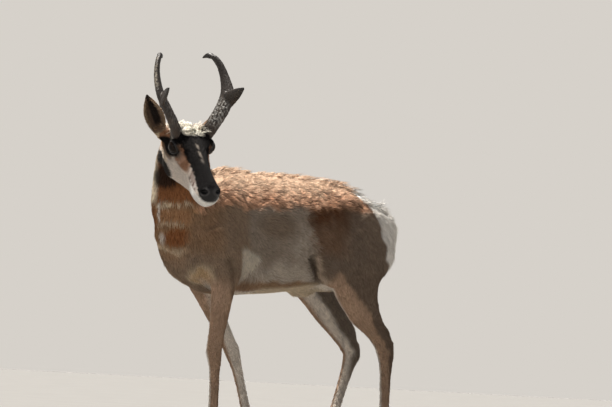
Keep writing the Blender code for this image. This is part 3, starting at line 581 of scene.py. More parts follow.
# %% The eye's opening
EYE_OUT = unit(np.array([0.30, 1.0, 0.10]))
EYE_FORWARD = np.array([1.0, 0.0, -0.16])
OPENING = (0.93, 0.70)
OPENING_POWER = 1.75


def eye_middle(side):
    return np.array([EYE.x, side * EYE.y, EYE.z])


def eye_frame(side):
    """The ways out of the eye, forward and up along its opening."""
    out = EYE_OUT * (1, side, 1)
    forward = unit(EYE_FORWARD - out * (EYE_FORWARD @ out))
    up = np.cross(out, forward) * side
    return out, forward, up * math.copysign(1, up[2])


def opening_share(place, side):
    """0 at the middle of the eye's opening, 1 at its rim, and more outside."""
    out, forward, up = eye_frame(side)
    ray = place - eye_middle(side)
    distance = np.linalg.norm(ray, axis=1)
    ray = ray / np.maximum(distance, 1e-6)[:, None]
    wide, tall = ray @ forward / OPENING[0], ray @ up / OPENING[1]
    share = (np.abs(wide) ** OPENING_POWER + np.abs(tall) ** OPENING_POWER) ** (1 / OPENING_POWER)
    seen = (ray @ out > 0) & (distance < 0.06)
    return np.where(seen, share, 9.0), distance, ray, tall


print("eye looks along", np.round(eye_frame(1)[0], 2), "on the left")

# %% [markdown]
# A voxel of nearly 7 mm is fine for a trunk and far too coarse for a face. The faces of the head
# are split once, and those round the eyes, nostrils and lips again and again, so that the
# triangles are spent where the form is small. Each round is smoothed, because splitting alone
# keeps the old facets.

# %% Finer faces on the head
# For each round after the first: the widest share of the eye's opening, and how far from the
# eye, the nostril and the line of the mouth faces are split
LID_REACH = (3.0, 1.75, 1.30)
EYE_REACH = (0.040, 0.034, 0.028)
NOSTRIL_REACH = (0.028, 0.018, 0.0)
LIP_REACH = (0.011, 0.005, 0.0)
MOUTH_HEIGHT = -0.0265


def left_side(place):
    """Places in head coordinates, with those on the right mirrored to the left."""
    return np.stack([place[:, 0], np.abs(place[:, 1]), place[:, 2]], 1)


def split_faces(obj, inside):
    """Splits the edges whose two ends both lie inside."""
    work = bmesh.new()
    work.from_mesh(obj.data)
    chosen = [edge for edge in work.edges if all(inside[vert.index] for vert in edge.verts)]
    bmesh.ops.subdivide_edges(work, edges=chosen, cuts=1, use_grid_fill=True)
    large = [face for face in work.faces if len(face.verts) > 4]
    bmesh.ops.triangulate(work, faces=large)
    work.to_mesh(obj.data)
    work.free()


def fine_zone(points, level):
    """Which points of the head are split at a level from 0, the whole head, to 3, the lids."""
    place = to_head(points)
    if level == 0:
        return (place[:, 0] > -0.035) & (blob(place, (0.13, 0, 0), (0.22, 0.12, 0.13)) > 0.5)
    step = level - 1
    mirrored = left_side(place)
    share, away = opening_share(mirrored, 1)[:2]
    eye = (away < EYE_REACH[step]) & (share > 0.85) & (share < LID_REACH[step])
    nose = np.linalg.norm(mirrored - (0.300, 0.020, 0.020), axis=1) < NOSTRIL_REACH[step]
    lips = (np.abs(place[:, 2] - MOUTH_HEIGHT) < LIP_REACH[step]) & (place[:, 0] > 0.224)
    return eye | nose | lips


for level in range(4):
    split_faces(hide, fine_zone(hide_points, level))
    hide_points = points_of(hide)
    hide_edges = edges_of(hide)
    zone = fine_zone(hide_points, level).astype(float)
    hide_points = smooth(hide_points, hide_edges, 4, zone)
    set_points(hide, hide_points)
    print("level", level, len(hide_points), "points")

# %% [markdown]
# The face is sculpted by moving points in head coordinates. Round each eye every point slides
# along its own line from the eye's centre: inside the opening it goes in behind the eyeball, at
# the rim it lies on the ball as a thin lid, and further out it returns to the skull. The
# nostrils are pushed in as commas, a groove parts the lips, and the lips and the edge of the jaw
# are filled out.

# %% Lids, nostrils and lips
NOSTRIL = np.array([0.3035, 0.0215, 0.0210])
NOSTRIL_RADII = np.array([0.0125, 0.0090, 0.0068])
NOSTRIL_PITCH = math.radians(-35)
LID_THICKNESS = 0.0019
LIP_PAD = np.array([0.0, 0.0085, -0.002])
JAW_PAD = np.array([0.0, 0.005, -0.010])


def sculpt_eye(place, side):
    share, distance, ray, tall = opening_share(place, side)
    near = distance < 0.052
    lid = EYE_RADIUS + LID_THICKNESS + 0.0012 * rise(share, 1.05, 1.5)
    crease = 0.0016 * band(share, 1.62, 0.16) * rise(tall, 0.2, 0.9)
    pouch = 0.0010 * band(share, 1.55, 0.18) * rise(-tall, 0.3, 0.9)
    brow = 0.0028 * band(share, 2.25, 0.42) * rise(tall, 0.4, 1.3)
    lid = lid - crease - pouch
    outer = distance + brow
    radius = lid + (outer - lid) * rise(share, 1.35, 2.3)
    behind = EYE_RADIUS - 0.0032
    radius = behind + (radius - behind) * rise(share, 0.93, 1.03)
    radius = np.where(near, radius, distance)
    return np.where(near[:, None], eye_middle(side) + ray * radius[:, None], place)


def tear_groove(place, side):
    """The groove that runs forward and down from the front corner of the eye."""
    start = np.array([0.131, side * 0.052, 0.034])
    way = unit(np.array([0.8, -side * 0.38, -0.45]))
    along = np.clip((place - start) @ way, 0, 0.022)
    away = np.linalg.norm(place - start - along[:, None] * way, axis=1)
    depth = 0.0020 * band(away, 0, 0.0034) * (1 - along / 0.030)
    return place - np.array([0.25, side * 0.9, 0.1]) * depth[:, None]


def nostril_share(place, side):
    """0 at the middle of the nostril, 1 at its rim: a comma that opens forward."""
    local = (place - NOSTRIL * (1, side, 1)) * (1, side, 1)
    c, s = math.cos(NOSTRIL_PITCH), math.sin(NOSTRIL_PITCH)
    along = c * local[:, 0] - s * local[:, 2]
    up = s * local[:, 0] + c * local[:, 2]
    up = up - 0.25 * np.clip(-along, 0, 1) + 18 * along**2
    return np.linalg.norm(np.stack([along, local[:, 1], up], 1) / NOSTRIL_RADII, axis=1)


def sculpt_nostril(place, side):
    share = nostril_share(place, side)
    inward = unit(np.array([-0.72, -side * 0.60, -0.30]))
    depth = 0.0105 * rise(share, 1.15, 0.35)
    rim = 0.0013 * band(share, 1.45, 0.30)
    return place + inward * (depth - rim)[:, None]


def mouth_share(place):
    """1 along the line where the lips meet and 0 away from it, and the height over that line."""
    line = MOUTH_HEIGHT + 0.0035 * rise(place[:, 0], 0.262, 0.236)
    away = np.abs(place[:, 2] - line)
    return band(away, 0, 0.0013) * rise(place[:, 0], 0.230, 0.241), place[:, 2] - line


def sculpt_mouth(place, normals):
    groove, height = mouth_share(place)
    front = rise(place[:, 0], 0.225, 0.245)
    upper = band(height, 0.0040, 0.0028) * front
    lower = band(height, -0.0036, 0.0024) * front
    return place + normals * (0.0011 * upper + 0.0009 * lower - 0.0034 * groove)[:, None]


def pad_jaw(place, side):
    """Fills out the lips and the lower edge of the jaw, where the flesh is soft."""
    mirrored = place * (1, side, 1)
    lips = blob(mirrored, (0.264, 0.026, -0.006), (0.052, 0.026, 0.030), 1.3)
    jaw = blob(mirrored, (0.150, 0.036, -0.048), (0.090, 0.034, 0.036), 1.4)
    place = place + lips[:, None] * (LIP_PAD * (1, side, 1))
    return place + jaw[:, None] * (JAW_PAD * (1, side, 1))


place = to_head(hide_points)
for side in SIDES.values():
    place = pad_jaw(place, side)
    place = sculpt_eye(place, side)
    place = tear_groove(place, side)
    place = sculpt_nostril(place, side)
set_points(hide, from_head(place))
place = sculpt_mouth(place, normals_of(hide) @ HEAD_AXES)
hide_points = from_head(place)
set_points(hide, hide_points)
print("face sculpted")

# %% [markdown]
# The trunk's muscles are broad and shallow. Each is one stroke: a soft ridge or groove along a
# line on the animal's side, given by its two ends, its width and how high it stands. Both sides
# get the same strokes, and the deepest is the fold of skin in front of the thigh. The right hind
# leg also gets a fuller calf to the rear, and the left one a fuller shin to the front.

# %% Muscles
# Ends forward and up, half width, height (a groove is negative)
STROKES = (
    ((0.262, 0.800), (0.238, 0.660), 0.020, 0.0050),
    ((0.205, 0.760), (0.170, 0.650), 0.024, -0.0050),
    ((0.215, 0.655), (0.160, 0.612), 0.022, 0.0070),
    ((0.300, 0.690), (0.285, 0.570), 0.022, 0.0045),
    ((0.330, 0.760), (0.318, 0.620), 0.016, -0.0050),
    ((-0.052, 0.626), (-0.130, 0.574), 0.015, -0.0130),
    ((-0.075, 0.668), (-0.190, 0.572), 0.022, 0.0070),
    ((-0.005, 0.760), (-0.035, 0.670), 0.022, -0.0050),
    ((-0.085, 0.770), (-0.120, 0.690), 0.040, 0.0040),
    ((-0.250, 0.770), (-0.300, 0.600), 0.022, -0.0040),
)
CALF_BULGE, SHIN_BULGE = 0.024, 0.014


def stroke(points, start, end, width):
    """1 along a line on the side of the trunk and 0 away from it."""
    flat = points[:, [0, 2]] - np.array(start)
    way = np.array(end) - np.array(start)
    along = np.clip(flat @ way / (way @ way), 0, 1)
    away = np.linalg.norm(flat - along[:, None] * way, axis=1)
    return band(away, 0, width) * rise(np.abs(points[:, 1]), 0.03, 0.07)


body = hide_points - SHIFT
weights = part_weights(hide_points, hide_edges, 6)
form = np.zeros(len(body))
for start, end, width, height in STROKES:
    form += height * stroke(body, start, end, width)
form *= 1 - np.maximum(share_of("head", weights), rise(body[:, 2], 0.52, 0.46))
hide_normals = normals_of(hide)
calf = blob(body, (-0.405, -0.086, 0.465), (0.060, 0.070, 0.110), 1.4)
form += CALF_BULGE * calf * rise(-hide_normals[:, 0], 0.0, 0.7)
shin = blob(body, (-0.285, 0.089, 0.485), (0.070, 0.070, 0.100), 1.4)
form += SHIN_BULGE * shin * rise(hide_normals[:, 0], 0.0, 0.7)
hide_points = hide_points + hide_normals * form[:, None]
set_points(hide, hide_points)
print("muscles from", round(float(form.min()), 4), "to", round(float(form.max()), 4))

# %% [markdown]
# The outline of the solids is the outline of the coat, so the hide has to lie deeper by the
# length that the hair stands off. The depth differs over the body: most on the withers, the
# croup and the rump, almost nothing on the muzzle, and none round the eyes. It is blended between
# the parts, and every point then moves in along its normal.

# %% Coat depth
COAT_DEPTH = {
    "torso": 0.0060, "neck": 0.0058, "head": 0.0022, "tail": 0.0060,
    "foreleg": 0.0050, "hindleg": 0.0050,
}
SHANK_DEPTH, MUZZLE_DEPTH, RUMP_EXTRA = 0.0022, 0.0008, 0.006
# Where the long hair of the back stands highest: places forward, extra depth
BACK_DEPTH = (
    (-0.50, -0.40, -0.30, -0.20, -0.10, 0.0, 0.10, 0.20, 0.30, 0.38),
    (0.012, 0.015, 0.013, 0.007, 0.002, 0.001, 0.004, 0.009, 0.013, 0.009),
)
# Where the white rump begins on the sides: heights, places forward
RUMP_LINE = (
    (0.58, 0.60, 0.62, 0.65, 0.70, 0.755, 0.805, 0.835, 0.87),
    (-0.43, -0.41, -0.39, -0.365, -0.350, -0.340, -0.325, -0.300, -0.275),
)


def rump_share(body):
    """1 on the white rump patch round the tail and 0 away from it."""
    x, y, z = body.T
    front = np.interp(z, *RUMP_LINE) - 0.055 * rise(np.abs(y), 0.055, 0.0) * rise(z, 0.80, 0.86)
    wave = 0.007 * ripple(body, 0.05, 11)
    return rise(x, front + 0.010 + wave, front - 0.010 + wave) * rise(z, 0.575, 0.612)


def from_parts(weights, values):
    """Blends what a table gives for each kind of part, by the weights of the parts."""
    return weights @ np.array([values[name.split("_")[0]] for name in FLESH])


weights = part_weights(hide_points, hide_edges, 10)
body = hide_points - SHIFT
place = to_head(hide_points)
on_head = share_of("head", weights)
depth = from_parts(weights, COAT_DEPTH)
depth += RUMP_EXTRA * rump_share(body) * (on_head < 0.5)
upward = rise(normals_of(hide)[:, 2], 0.0, 0.6) * share_of("torso", weights)
depth += np.interp(body[:, 0], *BACK_DEPTH) * upward
shank = rise(body[:, 2], 0.52, 0.36)
depth = depth * (1 - shank) + SHANK_DEPTH * shank
muzzle = rise(place[:, 0], 0.19, 0.27) * on_head
depth = depth * (1 - muzzle) + MUZZLE_DEPTH * muzzle
eye_ring = np.zeros(len(place))
for side in SIDES.values():
    share, distance = opening_share(place, side)[:2]
    eye_ring = np.maximum(eye_ring, rise(distance, 0.042, 0.030))
depth *= 1 - eye_ring
depth = smooth(depth[:, None], hide_edges, 6, back=0)[:, 0]
hide_points = hide_points - normals_of(hide) * depth[:, None]
set_points(hide, hide_points)
shade_soft(hide)
print("hide", triangles_of(hide), "triangles, depth up to", round(float(depth.max()), 4))

# %% [markdown]
# A pronghorn's markings are the same on skin and hair, so they are one function of a place on
# the body, which gives a colour for any list of points. It is built up in layers, as a painter
# would, each laid over the last through a soft mask. These are the colours it mixes from.

# %% Colours of the coat
# SADDLE and SADDLE_EDGE are partly painted light: the sunlit top and the shaded lower edge
SADDLE = paint(232, 200, 172)
SADDLE_EDGE = paint(190, 148, 120)
FLANK = paint(150, 136, 122)
PALE_FLANK = paint(188, 176, 162)
BELLY = paint(206, 188, 162)
BELLY_EDGE = paint(138, 102, 68)
SHOULDER = paint(146, 125, 106)
HAUNCH = paint(92, 60, 38)
THIGH = paint(122, 106, 92)
WHITE = paint(236, 231, 224)
CREAM = paint(224, 206, 178)
RUST = paint(146, 94, 58)
NECK_BROWN = paint(154, 121, 92)
LEG_TAN = paint(186, 156, 132)
LEG_REAR = paint(148, 118, 94)
LEG_INSIDE = paint(236, 226, 214)
BLACK = paint(20, 18, 18)
CHEEK = paint(232, 220, 208)
FACE_RUST = paint(160, 116, 86)
MANE_BROWN = paint(92, 66, 48)
DUN = paint(122, 88, 62)
TAIL_BROWN = paint(120, 88, 62)
print("lightest", np.round(WHITE, 2), "darkest", np.round(BLACK, 3))

# %% [markdown]
# The edges of the larger markings and the axes of the legs are lines, given by their corners.
# Between two corners a line is straight.

# %% Lines of the markings
# The lower edge of the pale saddle: places forward, heights
SADDLE_LINE = (
    (-0.45, -0.28, -0.13, 0.01, 0.13, 0.30, 0.36),
    (0.808, 0.796, 0.790, 0.776, 0.774, 0.766, 0.748),
)
# Where the haunch begins: heights, places forward
HAUNCH_LINE = ((0.50, 0.58, 0.63, 0.70, 0.78), (-0.15, -0.11, -0.072, -0.040, -0.026))
# The lower edge of the black mask, in head coordinates: places forward, heights
MASK_LINE = (
    (0.080, 0.115, 0.141, 0.169, 0.216, 0.253, 0.282, 0.300),
    (0.056, 0.058, 0.055, 0.036, 0.027, 0.022, 0.016, 0.004),
)
# Each leg's axis: heights, places forward, and how far it stands out
FORE_LINE = (
    (0.010, 0.044, 0.092, 0.150, 0.270, 0.358, 0.450, 0.555, 0.660),
    (0.297, 0.291, 0.270, 0.263, 0.268, 0.273, 0.266, 0.258, 0.235),
)
HIND_LINE = (
    (0.044, 0.094, 0.150, 0.268, 0.318, 0.358, 0.392, 0.430, 0.475, 0.525, 0.575, 0.690),
    (-0.430, -0.451, -0.459, -0.454, -0.451, -0.444, -0.425, -0.388, -0.350, -0.318, -0.300, -0.328),
)
LEG_OUT = 0.086
# How far ahead of a hind leg's axis its dark rear ends: heights, places forward
REAR_LINE = (
    (0.25, 0.35, 0.424, 0.484, 0.543, 0.601, 0.62),
    (0.0, 0.004, 0.020, 0.021, 0.059, 0.121, 0.20),
)
# How far the right legs are moved forward from the left ones: heights, shifts
FORE_SHIFT = ((0.0, 0.118, 0.332, 0.555, 0.660), (-0.290, -0.288, -0.222, -0.070, 0.0))
HIND_SHIFT = ((0.060, 0.120, 0.358, 0.575, 0.690), (0.078, 0.070, -0.024, -0.004, 0.0))
print("saddle's edge from", min(SADDLE_LINE[1]), "to", max(SADDLE_LINE[1]), "m above the floor")

# %% [markdown]
# A layer is laid over the colours below it through its mask. A mask can follow a line, like the
# saddle's ragged lower edge, or fill a wedge, like the pale patch behind the elbow.

# %% Layers and masks


def layer(base, colour, share):
    return base + (colour - base) * np.clip(share, 0, 1)[:, None]


def leg_axis(leg, height):
    """Where a leg's axis stands forward at each height, and on which side."""
    line, moved = (FORE_LINE, FORE_SHIFT) if leg.startswith("fore") else (HIND_LINE, HIND_SHIFT)
    side = 1 if leg.endswith("left") else -1
    forward = np.interp(height, *line)
    if side < 0:
        forward = forward + np.interp(height, *moved)
    return forward, side


def wedge_share(first, second, corners, edge):
    """1 inside a flat triangle and 0 outside, softened over the edge."""
    share = np.ones(len(first))
    (a, b), (c, d), (e, f) = corners
    turn = math.copysign(1, (e - a) * (d - b) - (f - b) * (c - a))
    for (a, b), (c, d) in zip(corners, corners[1:] + corners[:1]):
        length = turn * math.hypot(c - a, d - b)
        inward = ((first - a) * (d - b) - (second - b) * (c - a)) / length
        share *= rise(inward, -edge, edge)
    return share


def saddle_share(body):
    edge = np.interp(body[:, 0], *SADDLE_LINE)
    edge = edge + 0.007 * ripple(body * (1, 1, 0.3), 0.05, 21) + 0.004 * ripple(body, 0.02, 22)
    return rise(body[:, 2] - edge, -0.012, 0.012)


print("left fore hoof stands", round(float(leg_axis("foreleg_left", 0.01)[0]), 3), "m forward")

# %% [markdown]
# The trunk has a pale saddle over brown sides that turn pale low down. The saddle's paleness,
# lightest along its top and darker towards its lower edge, is partly its own colour and partly
# painted sunlight. The haunch is darker, the fold in front of the thigh is in painted shade, and
# the brisket and belly are buff.

# %% Colours of the trunk


def trunk_tone(body):
    x, y, z = body.T
    cloud = ripple(body * (1, 0.5, 0.5), 0.06, 23)
    tone = np.tile(FLANK, (len(body), 1))
    tone = layer(tone, PALE_FLANK, 0.85 * rise(z + 0.01 * cloud, 0.640, 0.580) * rise(x, 0.24, 0.14))
    dull = blob(body * (1, 0, 1), (0.105, 0, 0.722), (0.060, 1, 0.040), 0.9)
    tone = layer(tone, paint(126, 106, 88), 0.6 * dull)
    light = rise(x + 0.01 * cloud, 0.085, 0.020) * rise(x, -0.09, -0.04) * rise(z, 0.60, 0.64)
    light = light * rise(z + 0.01 * cloud, 0.745, 0.705)
    light = light * rise(ripple(body * (1, 1, 0.2), 0.016, 26), -1.6, 0.8)
    tone = layer(tone, PALE_FLANK, 0.65 * light)
    tone = layer(tone, SHOULDER, rise(x + 0.01 * cloud, 0.185, 0.230))
    tone = layer(tone, NECK_BROWN, 0.7 * rise(x, 0.27, 0.33) * rise(z, 0.60, 0.66))
    low_edge = np.interp(x, (-0.15, 0.03, 0.14, 0.30), (0.560, 0.552, 0.545, 0.53))
    low = rise(z + 0.004 * cloud, low_edge + 0.012, low_edge - 0.004) * rise(x, 0.27, 0.23)
    tone = layer(tone, BELLY_EDGE, 0.8 * low)
    tone = layer(tone, BELLY, rise(np.abs(y), 0.085, 0.060) * rise(z, 0.60, 0.56) * rise(x, 0.26, 0.20))
    front = np.interp(z, *HAUNCH_LINE) + 0.009 * ripple(body, 0.04, 24)
    haunch = rise(x + 0.004 * cloud, front + 0.022, front - 0.024)
    upper = rise(z + 0.02 * cloud, 0.690, 0.770)
    tone = layer(tone, THIGH, haunch * rise(z, 0.54, 0.58))
    tone = layer(tone, HAUNCH, haunch * upper * rise(x, -0.28, -0.16))
    dun = haunch * rise(z, 0.62, 0.68) * (1 - upper) * rise(x, -0.24, -0.16) * 0.55
    tone = layer(tone, DUN, dun)
    # Painted shade in the fold in front of the thigh, and a painted highlight on the thigh's edge
    fold_shade = stroke(body, (-0.058, 0.620), (-0.120, 0.580), 0.020)
    tone = layer(tone, paint(56, 44, 34), 0.85 * fold_shade)
    lit = stroke(body, (-0.072, 0.638), (-0.160, 0.566), 0.006)
    tone = layer(tone, paint(206, 184, 162), 0.7 * lit)
    patch = ((0.236, 0.652), (0.158, 0.622), (0.205, 0.500))
    tone = layer(tone, paint(206, 196, 180), 0.95 * wedge_share(x, z, patch, 0.008))
    away = np.linalg.norm((np.abs(body) - (0.332, 0.066, 0.552)) / (0.040, 0.042, 0.046), axis=1)
    away = away + 0.12 * ripple(body, 0.03, 25)
    tone = layer(tone, paint(206, 176, 138), 0.90 * rise(away, 1.15, 0.6))
    tone = layer(tone, paint(232, 212, 182), 0.45 * band(away, 0.95, 0.20) * (z > 0.53))
    # The saddle is painted lightest on top and darker at its lower edge, as sunlight on the back
    saddle = saddle_share(body)
    edge = np.interp(x, *SADDLE_LINE)
    high = rise(z - edge + 0.01 * cloud, 0.005, 0.085)
    back = SADDLE_EDGE + (SADDLE - SADDLE_EDGE) * high[:, None]
    return tone + (back - tone) * saddle[:, None]


print("middle of the flank", np.round(trunk_tone(np.array([[0.0, 0.12, 0.65]]))[0], 2))

# %% [markdown]
# The throat is rusty with cream bands that are torn at their edges and sag towards the middle.
# High up, the right side of the neck is cream, partly as painted sunlight on that edge, and
# the ridge of the nape is dark brown.
# Under the jaw the neck is painted dark, as the shadow there.

# %% Colours of the neck


def neck_tone(body):
    x, y, z = body.T
    tone = np.tile(NECK_BROWN, (len(body), 1))
    front = rise(x, 0.375, 0.405)
    tone = layer(tone, RUST, 0.85 * rise(x, 0.33, 0.40) * rise(z, 0.765, 0.785))
    oval = rise(np.hypot((y - 0.048) / 0.048, (z - 0.672 - 0.22 * (y - 0.048)) / 0.027), 1.20, 0.70)
    tone = layer(tone, RUST, 0.95 * front * oval)
    tone = layer(tone, paint(176, 132, 96), 0.7 * front * rise(z, 0.71, 0.72) * rise(z, 0.757, 0.75))
    wave = 0.004 * ripple(body, 0.035, 31)
    sag = 0.012 * rise(x, 0.40, 0.455)
    torn = rise(ripple(body, 0.018, 33), -1.5, -0.1)
    first = band(z + sag + wave, 0.774, 0.0062)
    tone = layer(tone, CREAM, 0.85 * torn * first * rise(x, 0.380, 0.400))
    second = band(z + sag * 0.4 + wave, 0.710, 0.0045)
    tone = layer(tone, CREAM, 0.65 * torn * second * rise(x, 0.400, 0.415) * rise(y, 0.085, 0.060))
    third = band(z - 0.30 * np.abs(y - 0.03) + wave, 0.624, 0.0110)
    tone = layer(tone, CREAM, 0.7 * third * rise(x, 0.375, 0.395) * torn)
    side = rise(y - 0.25 * (z - 0.72), -0.008, -0.034) * rise(z, 0.66, 0.72)
    high = rise(z, 0.762, 0.782)
    # Cream high on the right side, partly as painted sunlight along that edge
    cream = side * rise(x, 0.33, 0.40) * (0.6 + 0.4 * torn)
    tone = layer(tone, paint(240, 226, 202), 0.95 * cream * high)
    tone = layer(tone, RUST * 0.8, 0.85 * side * rise(x, 0.33, 0.40) * (1 - high))
    streak = band(y - 0.25 * (z - 0.72), -0.006, 0.0045)
    tone = layer(tone, WHITE, 0.85 * streak * rise(x, 0.36, 0.40) * rise(z, 0.712, 0.722) * (1 - high))
    spot = blob(body, (0.400, -0.004, 0.668), (0.050, 0.014, 0.016), 1.0)
    tone = layer(tone, WHITE, 0.7 * spot)
    # Painted shadow under the jaw: near black at its middle, darker rust round it
    dark = blob(body, (0.462, 0.040, 0.848), (0.030, 0.056, 0.034), 0.6)
    tone = layer(tone, BLACK, 0.9 * dark)
    under_jaw_shade = 0.7 * (1 - dark) * rise(z, 0.80, 0.84) * rise(x, 0.40, 0.44) * rise(y, -0.01, 0.02)
    tone = layer(tone, RUST * 0.55, under_jaw_shade)
    nape = rise(x - 0.5 * (z - 0.86), 0.372, 0.345) * rise(z, 0.84, 0.88)
    return layer(tone, MANE_BROWN, 0.7 * nape)


print("throat", np.round(neck_tone(np.array([[0.42, 0.05, 0.80]]))[0], 2))

# %% [markdown]
# A leg is tan in front, darker behind and nearly white inside. How far ahead of its axis a point
# lies, and how far out, tells which of them it is.

# %% Colours of the legs


def leg_tone(body, leg):
    forward, side = leg_axis(leg, body[:, 2])
    ahead = body[:, 0] - forward
    outward = body[:, 1] * side - LEG_OUT
    width = np.interp(body[:, 2], (0.05, 0.30, 0.45, 0.60), (0.010, 0.012, 0.024, 0.060))
    tone = np.tile(LEG_TAN, (len(body), 1))
    tone = layer(tone, LEG_REAR, rise(ahead / width, -0.1, -0.9))
    turned = 0.25 if leg.startswith("hind") else -0.25
    tone = layer(tone, LEG_INSIDE, 0.95 * rise(outward / width, turned, turned - 0.65))
    if leg.startswith("hind"):
        border = np.interp(body[:, 2], *REAR_LINE) + 0.004 * ripple(body, 0.03, 27)
        behind = rise(ahead - border, 0.014, -0.014)
        tone = layer(tone, THIGH * 0.80, 0.92 * behind * rise(body[:, 2], 0.12, 0.36))
    else:
        tone = layer(tone, SHOULDER, rise(body[:, 2], 0.52, 0.62))
    return layer(tone, LEG_REAR * 0.7, 0.6 * rise(body[:, 2], 0.075, 0.050))


print("shank", np.round(leg_tone(np.array([[0.29, 0.09, 0.20]]), "foreleg_left")[0], 2))

# %% [markdown]
# The face has a black mask down the bridge, black jaw patches, pale cheeks, rusty sides, a
# mottled muzzle and white lips. All of it is laid out in head coordinates, mirrored from the left.

# %% Colours of the face


def face_tone(place):
    mirrored = left_side(place)
    forward, wide, up = mirrored.T
    grain = ripple(place, 0.012, 41)
    tone = np.tile(CHEEK, (len(place), 1))
    tone = layer(tone, NECK_BROWN, rise(forward, 0.060, 0.030) * rise(up, -0.040, -0.015))
    tone = layer(tone, NECK_BROWN, 0.8 * rise(forward, 0.006, -0.020))
    rust = rise(forward, 0.112, 0.130) * rise(forward, 0.208, 0.180) * rise(up, 0.000, 0.012)
    tone = layer(tone, FACE_RUST, 0.95 * rust)
    temple = 0.9 * rise(up, 0.012, 0.024) * rise(forward, 0.125, 0.09) * (forward > 0.02)
    tone = layer(tone, FACE_RUST, temple)
    jaw = blob(mirrored + 0.003 * grain[:, None], (0.026, 0.046, -0.078), (0.050, 0.040, 0.036))
    jaw = np.maximum(jaw, blob(mirrored, (0.062, 0.036, -0.088), (0.044, 0.036, 0.034)))
    jaw = np.maximum(jaw, blob(mirrored, (0.084, 0.050, -0.052), (0.042, 0.022, 0.022)))
    tone = layer(tone, BLACK, 0.95 * jaw)
    pale = blob(mirrored, (0.056, 0.056, -0.025), (0.040, 0.014, 0.009))
    tone = layer(tone, paint(226, 208, 186), 0.8 * pale)
    shadow = 0.85 * blob(mirrored, (0.058, 0.058, -0.003), (0.056, 0.020, 0.014), 0.6)
    tone = layer(tone, paint(120, 92, 70), shadow)
    mottle = rise(forward, 0.20, 0.22) * rise(forward, 0.290, 0.268)
    mottle = mottle * rise(up, -0.004, 0.006)
    tone = layer(tone, paint(128, 112, 104), 0.8 * mottle)
    tone = layer(tone, paint(96, 66, 56), 0.7 * mottle * rise(ripple(place, 0.020, 42), 0.0, 0.9))
    tone = layer(tone, paint(214, 208, 202), 0.7 * mottle * rise(ripple(place, 0.016, 43), 0.2, 1.0))
    white = rise(forward, 0.222, 0.245) * rise(up, 0.006, -0.004)
    tone = layer(tone, paint(246, 242, 236), 0.98 * white)
    edge = np.interp(forward, *MASK_LINE) + 0.002 * grain
    mask = rise(up - edge, -0.004, 0.004) * rise(forward, 0.070, 0.085)
    tone = layer(tone, BLACK, mask)
    # A pale broken streak down the bridge: a painted highlight on its ridge
    streak = band(wide, 0, 0.0040) * rise(ripple(place, 0.016, 44), -1.2, 0.4)
    streak = streak * rise(forward, 0.118, 0.140) * rise(forward, 0.218, 0.196)
    tone = layer(tone, paint(150, 140, 130), 0.75 * streak * rise(up, 0.04, 0.05))
    tone = layer(tone, BLACK, blob(mirrored, (0.098, 0.062, 0.036), (0.044, 0.030, 0.031)))
    tone = layer(tone, BLACK, blob(mirrored, (0.072, 0.062, 0.016), (0.044, 0.034, 0.022)))
    brow = rise(forward, 0.055, 0.070) * rise(forward, 0.120, 0.105) * rise(up, 0.052, 0.060)
    tone = layer(tone, BLACK, brow)
    crown = rise(forward, 0.100, 0.088) * rise(forward, -0.040, -0.015) * rise(wide, 0.060, 0.048)
    tone = layer(tone, paint(244, 238, 224), crown * rise(up, 0.040, 0.052))
    nose = blob(mirrored, (0.305, 0.004, 0.012), (0.022, 0.028, 0.023))
    tone = layer(tone, BLACK, nose)
    hollow = np.minimum(nostril_share(place, 1), nostril_share(place, -1))
    tone = layer(tone, paint(58, 56, 56), 0.8 * nose * rise(hollow, 1.0, 1.2) * rise(hollow, 2.3, 1.5))
    # Painted shade: the hollow of each nostril is near black
    return layer(tone, BLACK * 0.3, rise(hollow, 1.1, 0.8))


print("bridge of the nose", np.round(face_tone(np.array([[0.15, 0.0, 0.07]]))[0], 2))

# %% [markdown]
# The four are blended by the weights of the parts. The white rump and the tail are laid over
# them, and two faint ripples keep any colour from being flat. The colours are stored with the
# points as tone, which the finishes read. The skin is painted a little darker than the hair on
# it, as the shade under the coat.

# %% Markings on the hide
# The skin is darkened as painted shade under the coat
SKIN_SHADE = 0.8


def coat_tone(points, weights):
    """The coat's colour at each point, from the weights of the parts it lies on."""
    body = points - SHIFT
    tone = trunk_tone(body)
    tone = layer(tone, neck_tone(body), share_of("neck", weights) + rise(body[:, 0], 0.37, 0.41))
    for leg in LEGS:
        ends = (0.62, 0.59) if leg.startswith("hind") else (0.58, 0.52)
        tone = layer(tone, leg_tone(body, leg), share_of(leg, weights) * rise(body[:, 2], *ends))
    on_head = share_of("head", weights)
    # Painted shade in the crease behind the foreleg
    crease = stroke(body, (0.276, 0.605), (0.240, 0.510), 0.013)
    tone = layer(tone, paint(84, 70, 56), 0.6 * crease * (on_head < 0.5))
    tone = layer(tone, WHITE, rump_share(body) * (on_head < 0.5))
    tone = layer(tone, TAIL_BROWN, share_of("tail", weights) * rise(body[:, 2], 0.76, 0.80))
    tone = layer(tone, face_tone(to_head(points)), rise(on_head, 0.35, 0.65))
    cloud = 1 + 0.05 * ripple(body, 0.045, 51) + 0.05 * ripple(body, 0.013, 52)
    return np.clip(tone * cloud[:, None], 0.004, 0.95)


def set_tone(obj, colours):
    """Stores a colour for each point, which the finishes read as tone."""
    stored = obj.data.color_attributes.new("tone", "FLOAT_COLOR", "POINT")
    filled = np.ones((len(colours), 4), dtype=np.float32)
    filled[:, :3] = colours
    stored.data.foreach_set("color", filled.ravel())


weights = part_weights(hide_points, hide_edges, 8)
set_tone(hide, coat_tone(hide_points, weights) * SKIN_SHADE)
print("markings painted on", len(hide_points), "points")

# %% [markdown]
# Where hair is short the skin shows between the tufts, so it carries the grain of fine hair as
# bump. The grain is a noise that is drawn out along the body. Bare skin, on the nose and the
# rims of the lids, is smooth and a little wet, so its roughness is lower there.

# %% Finish of the hide


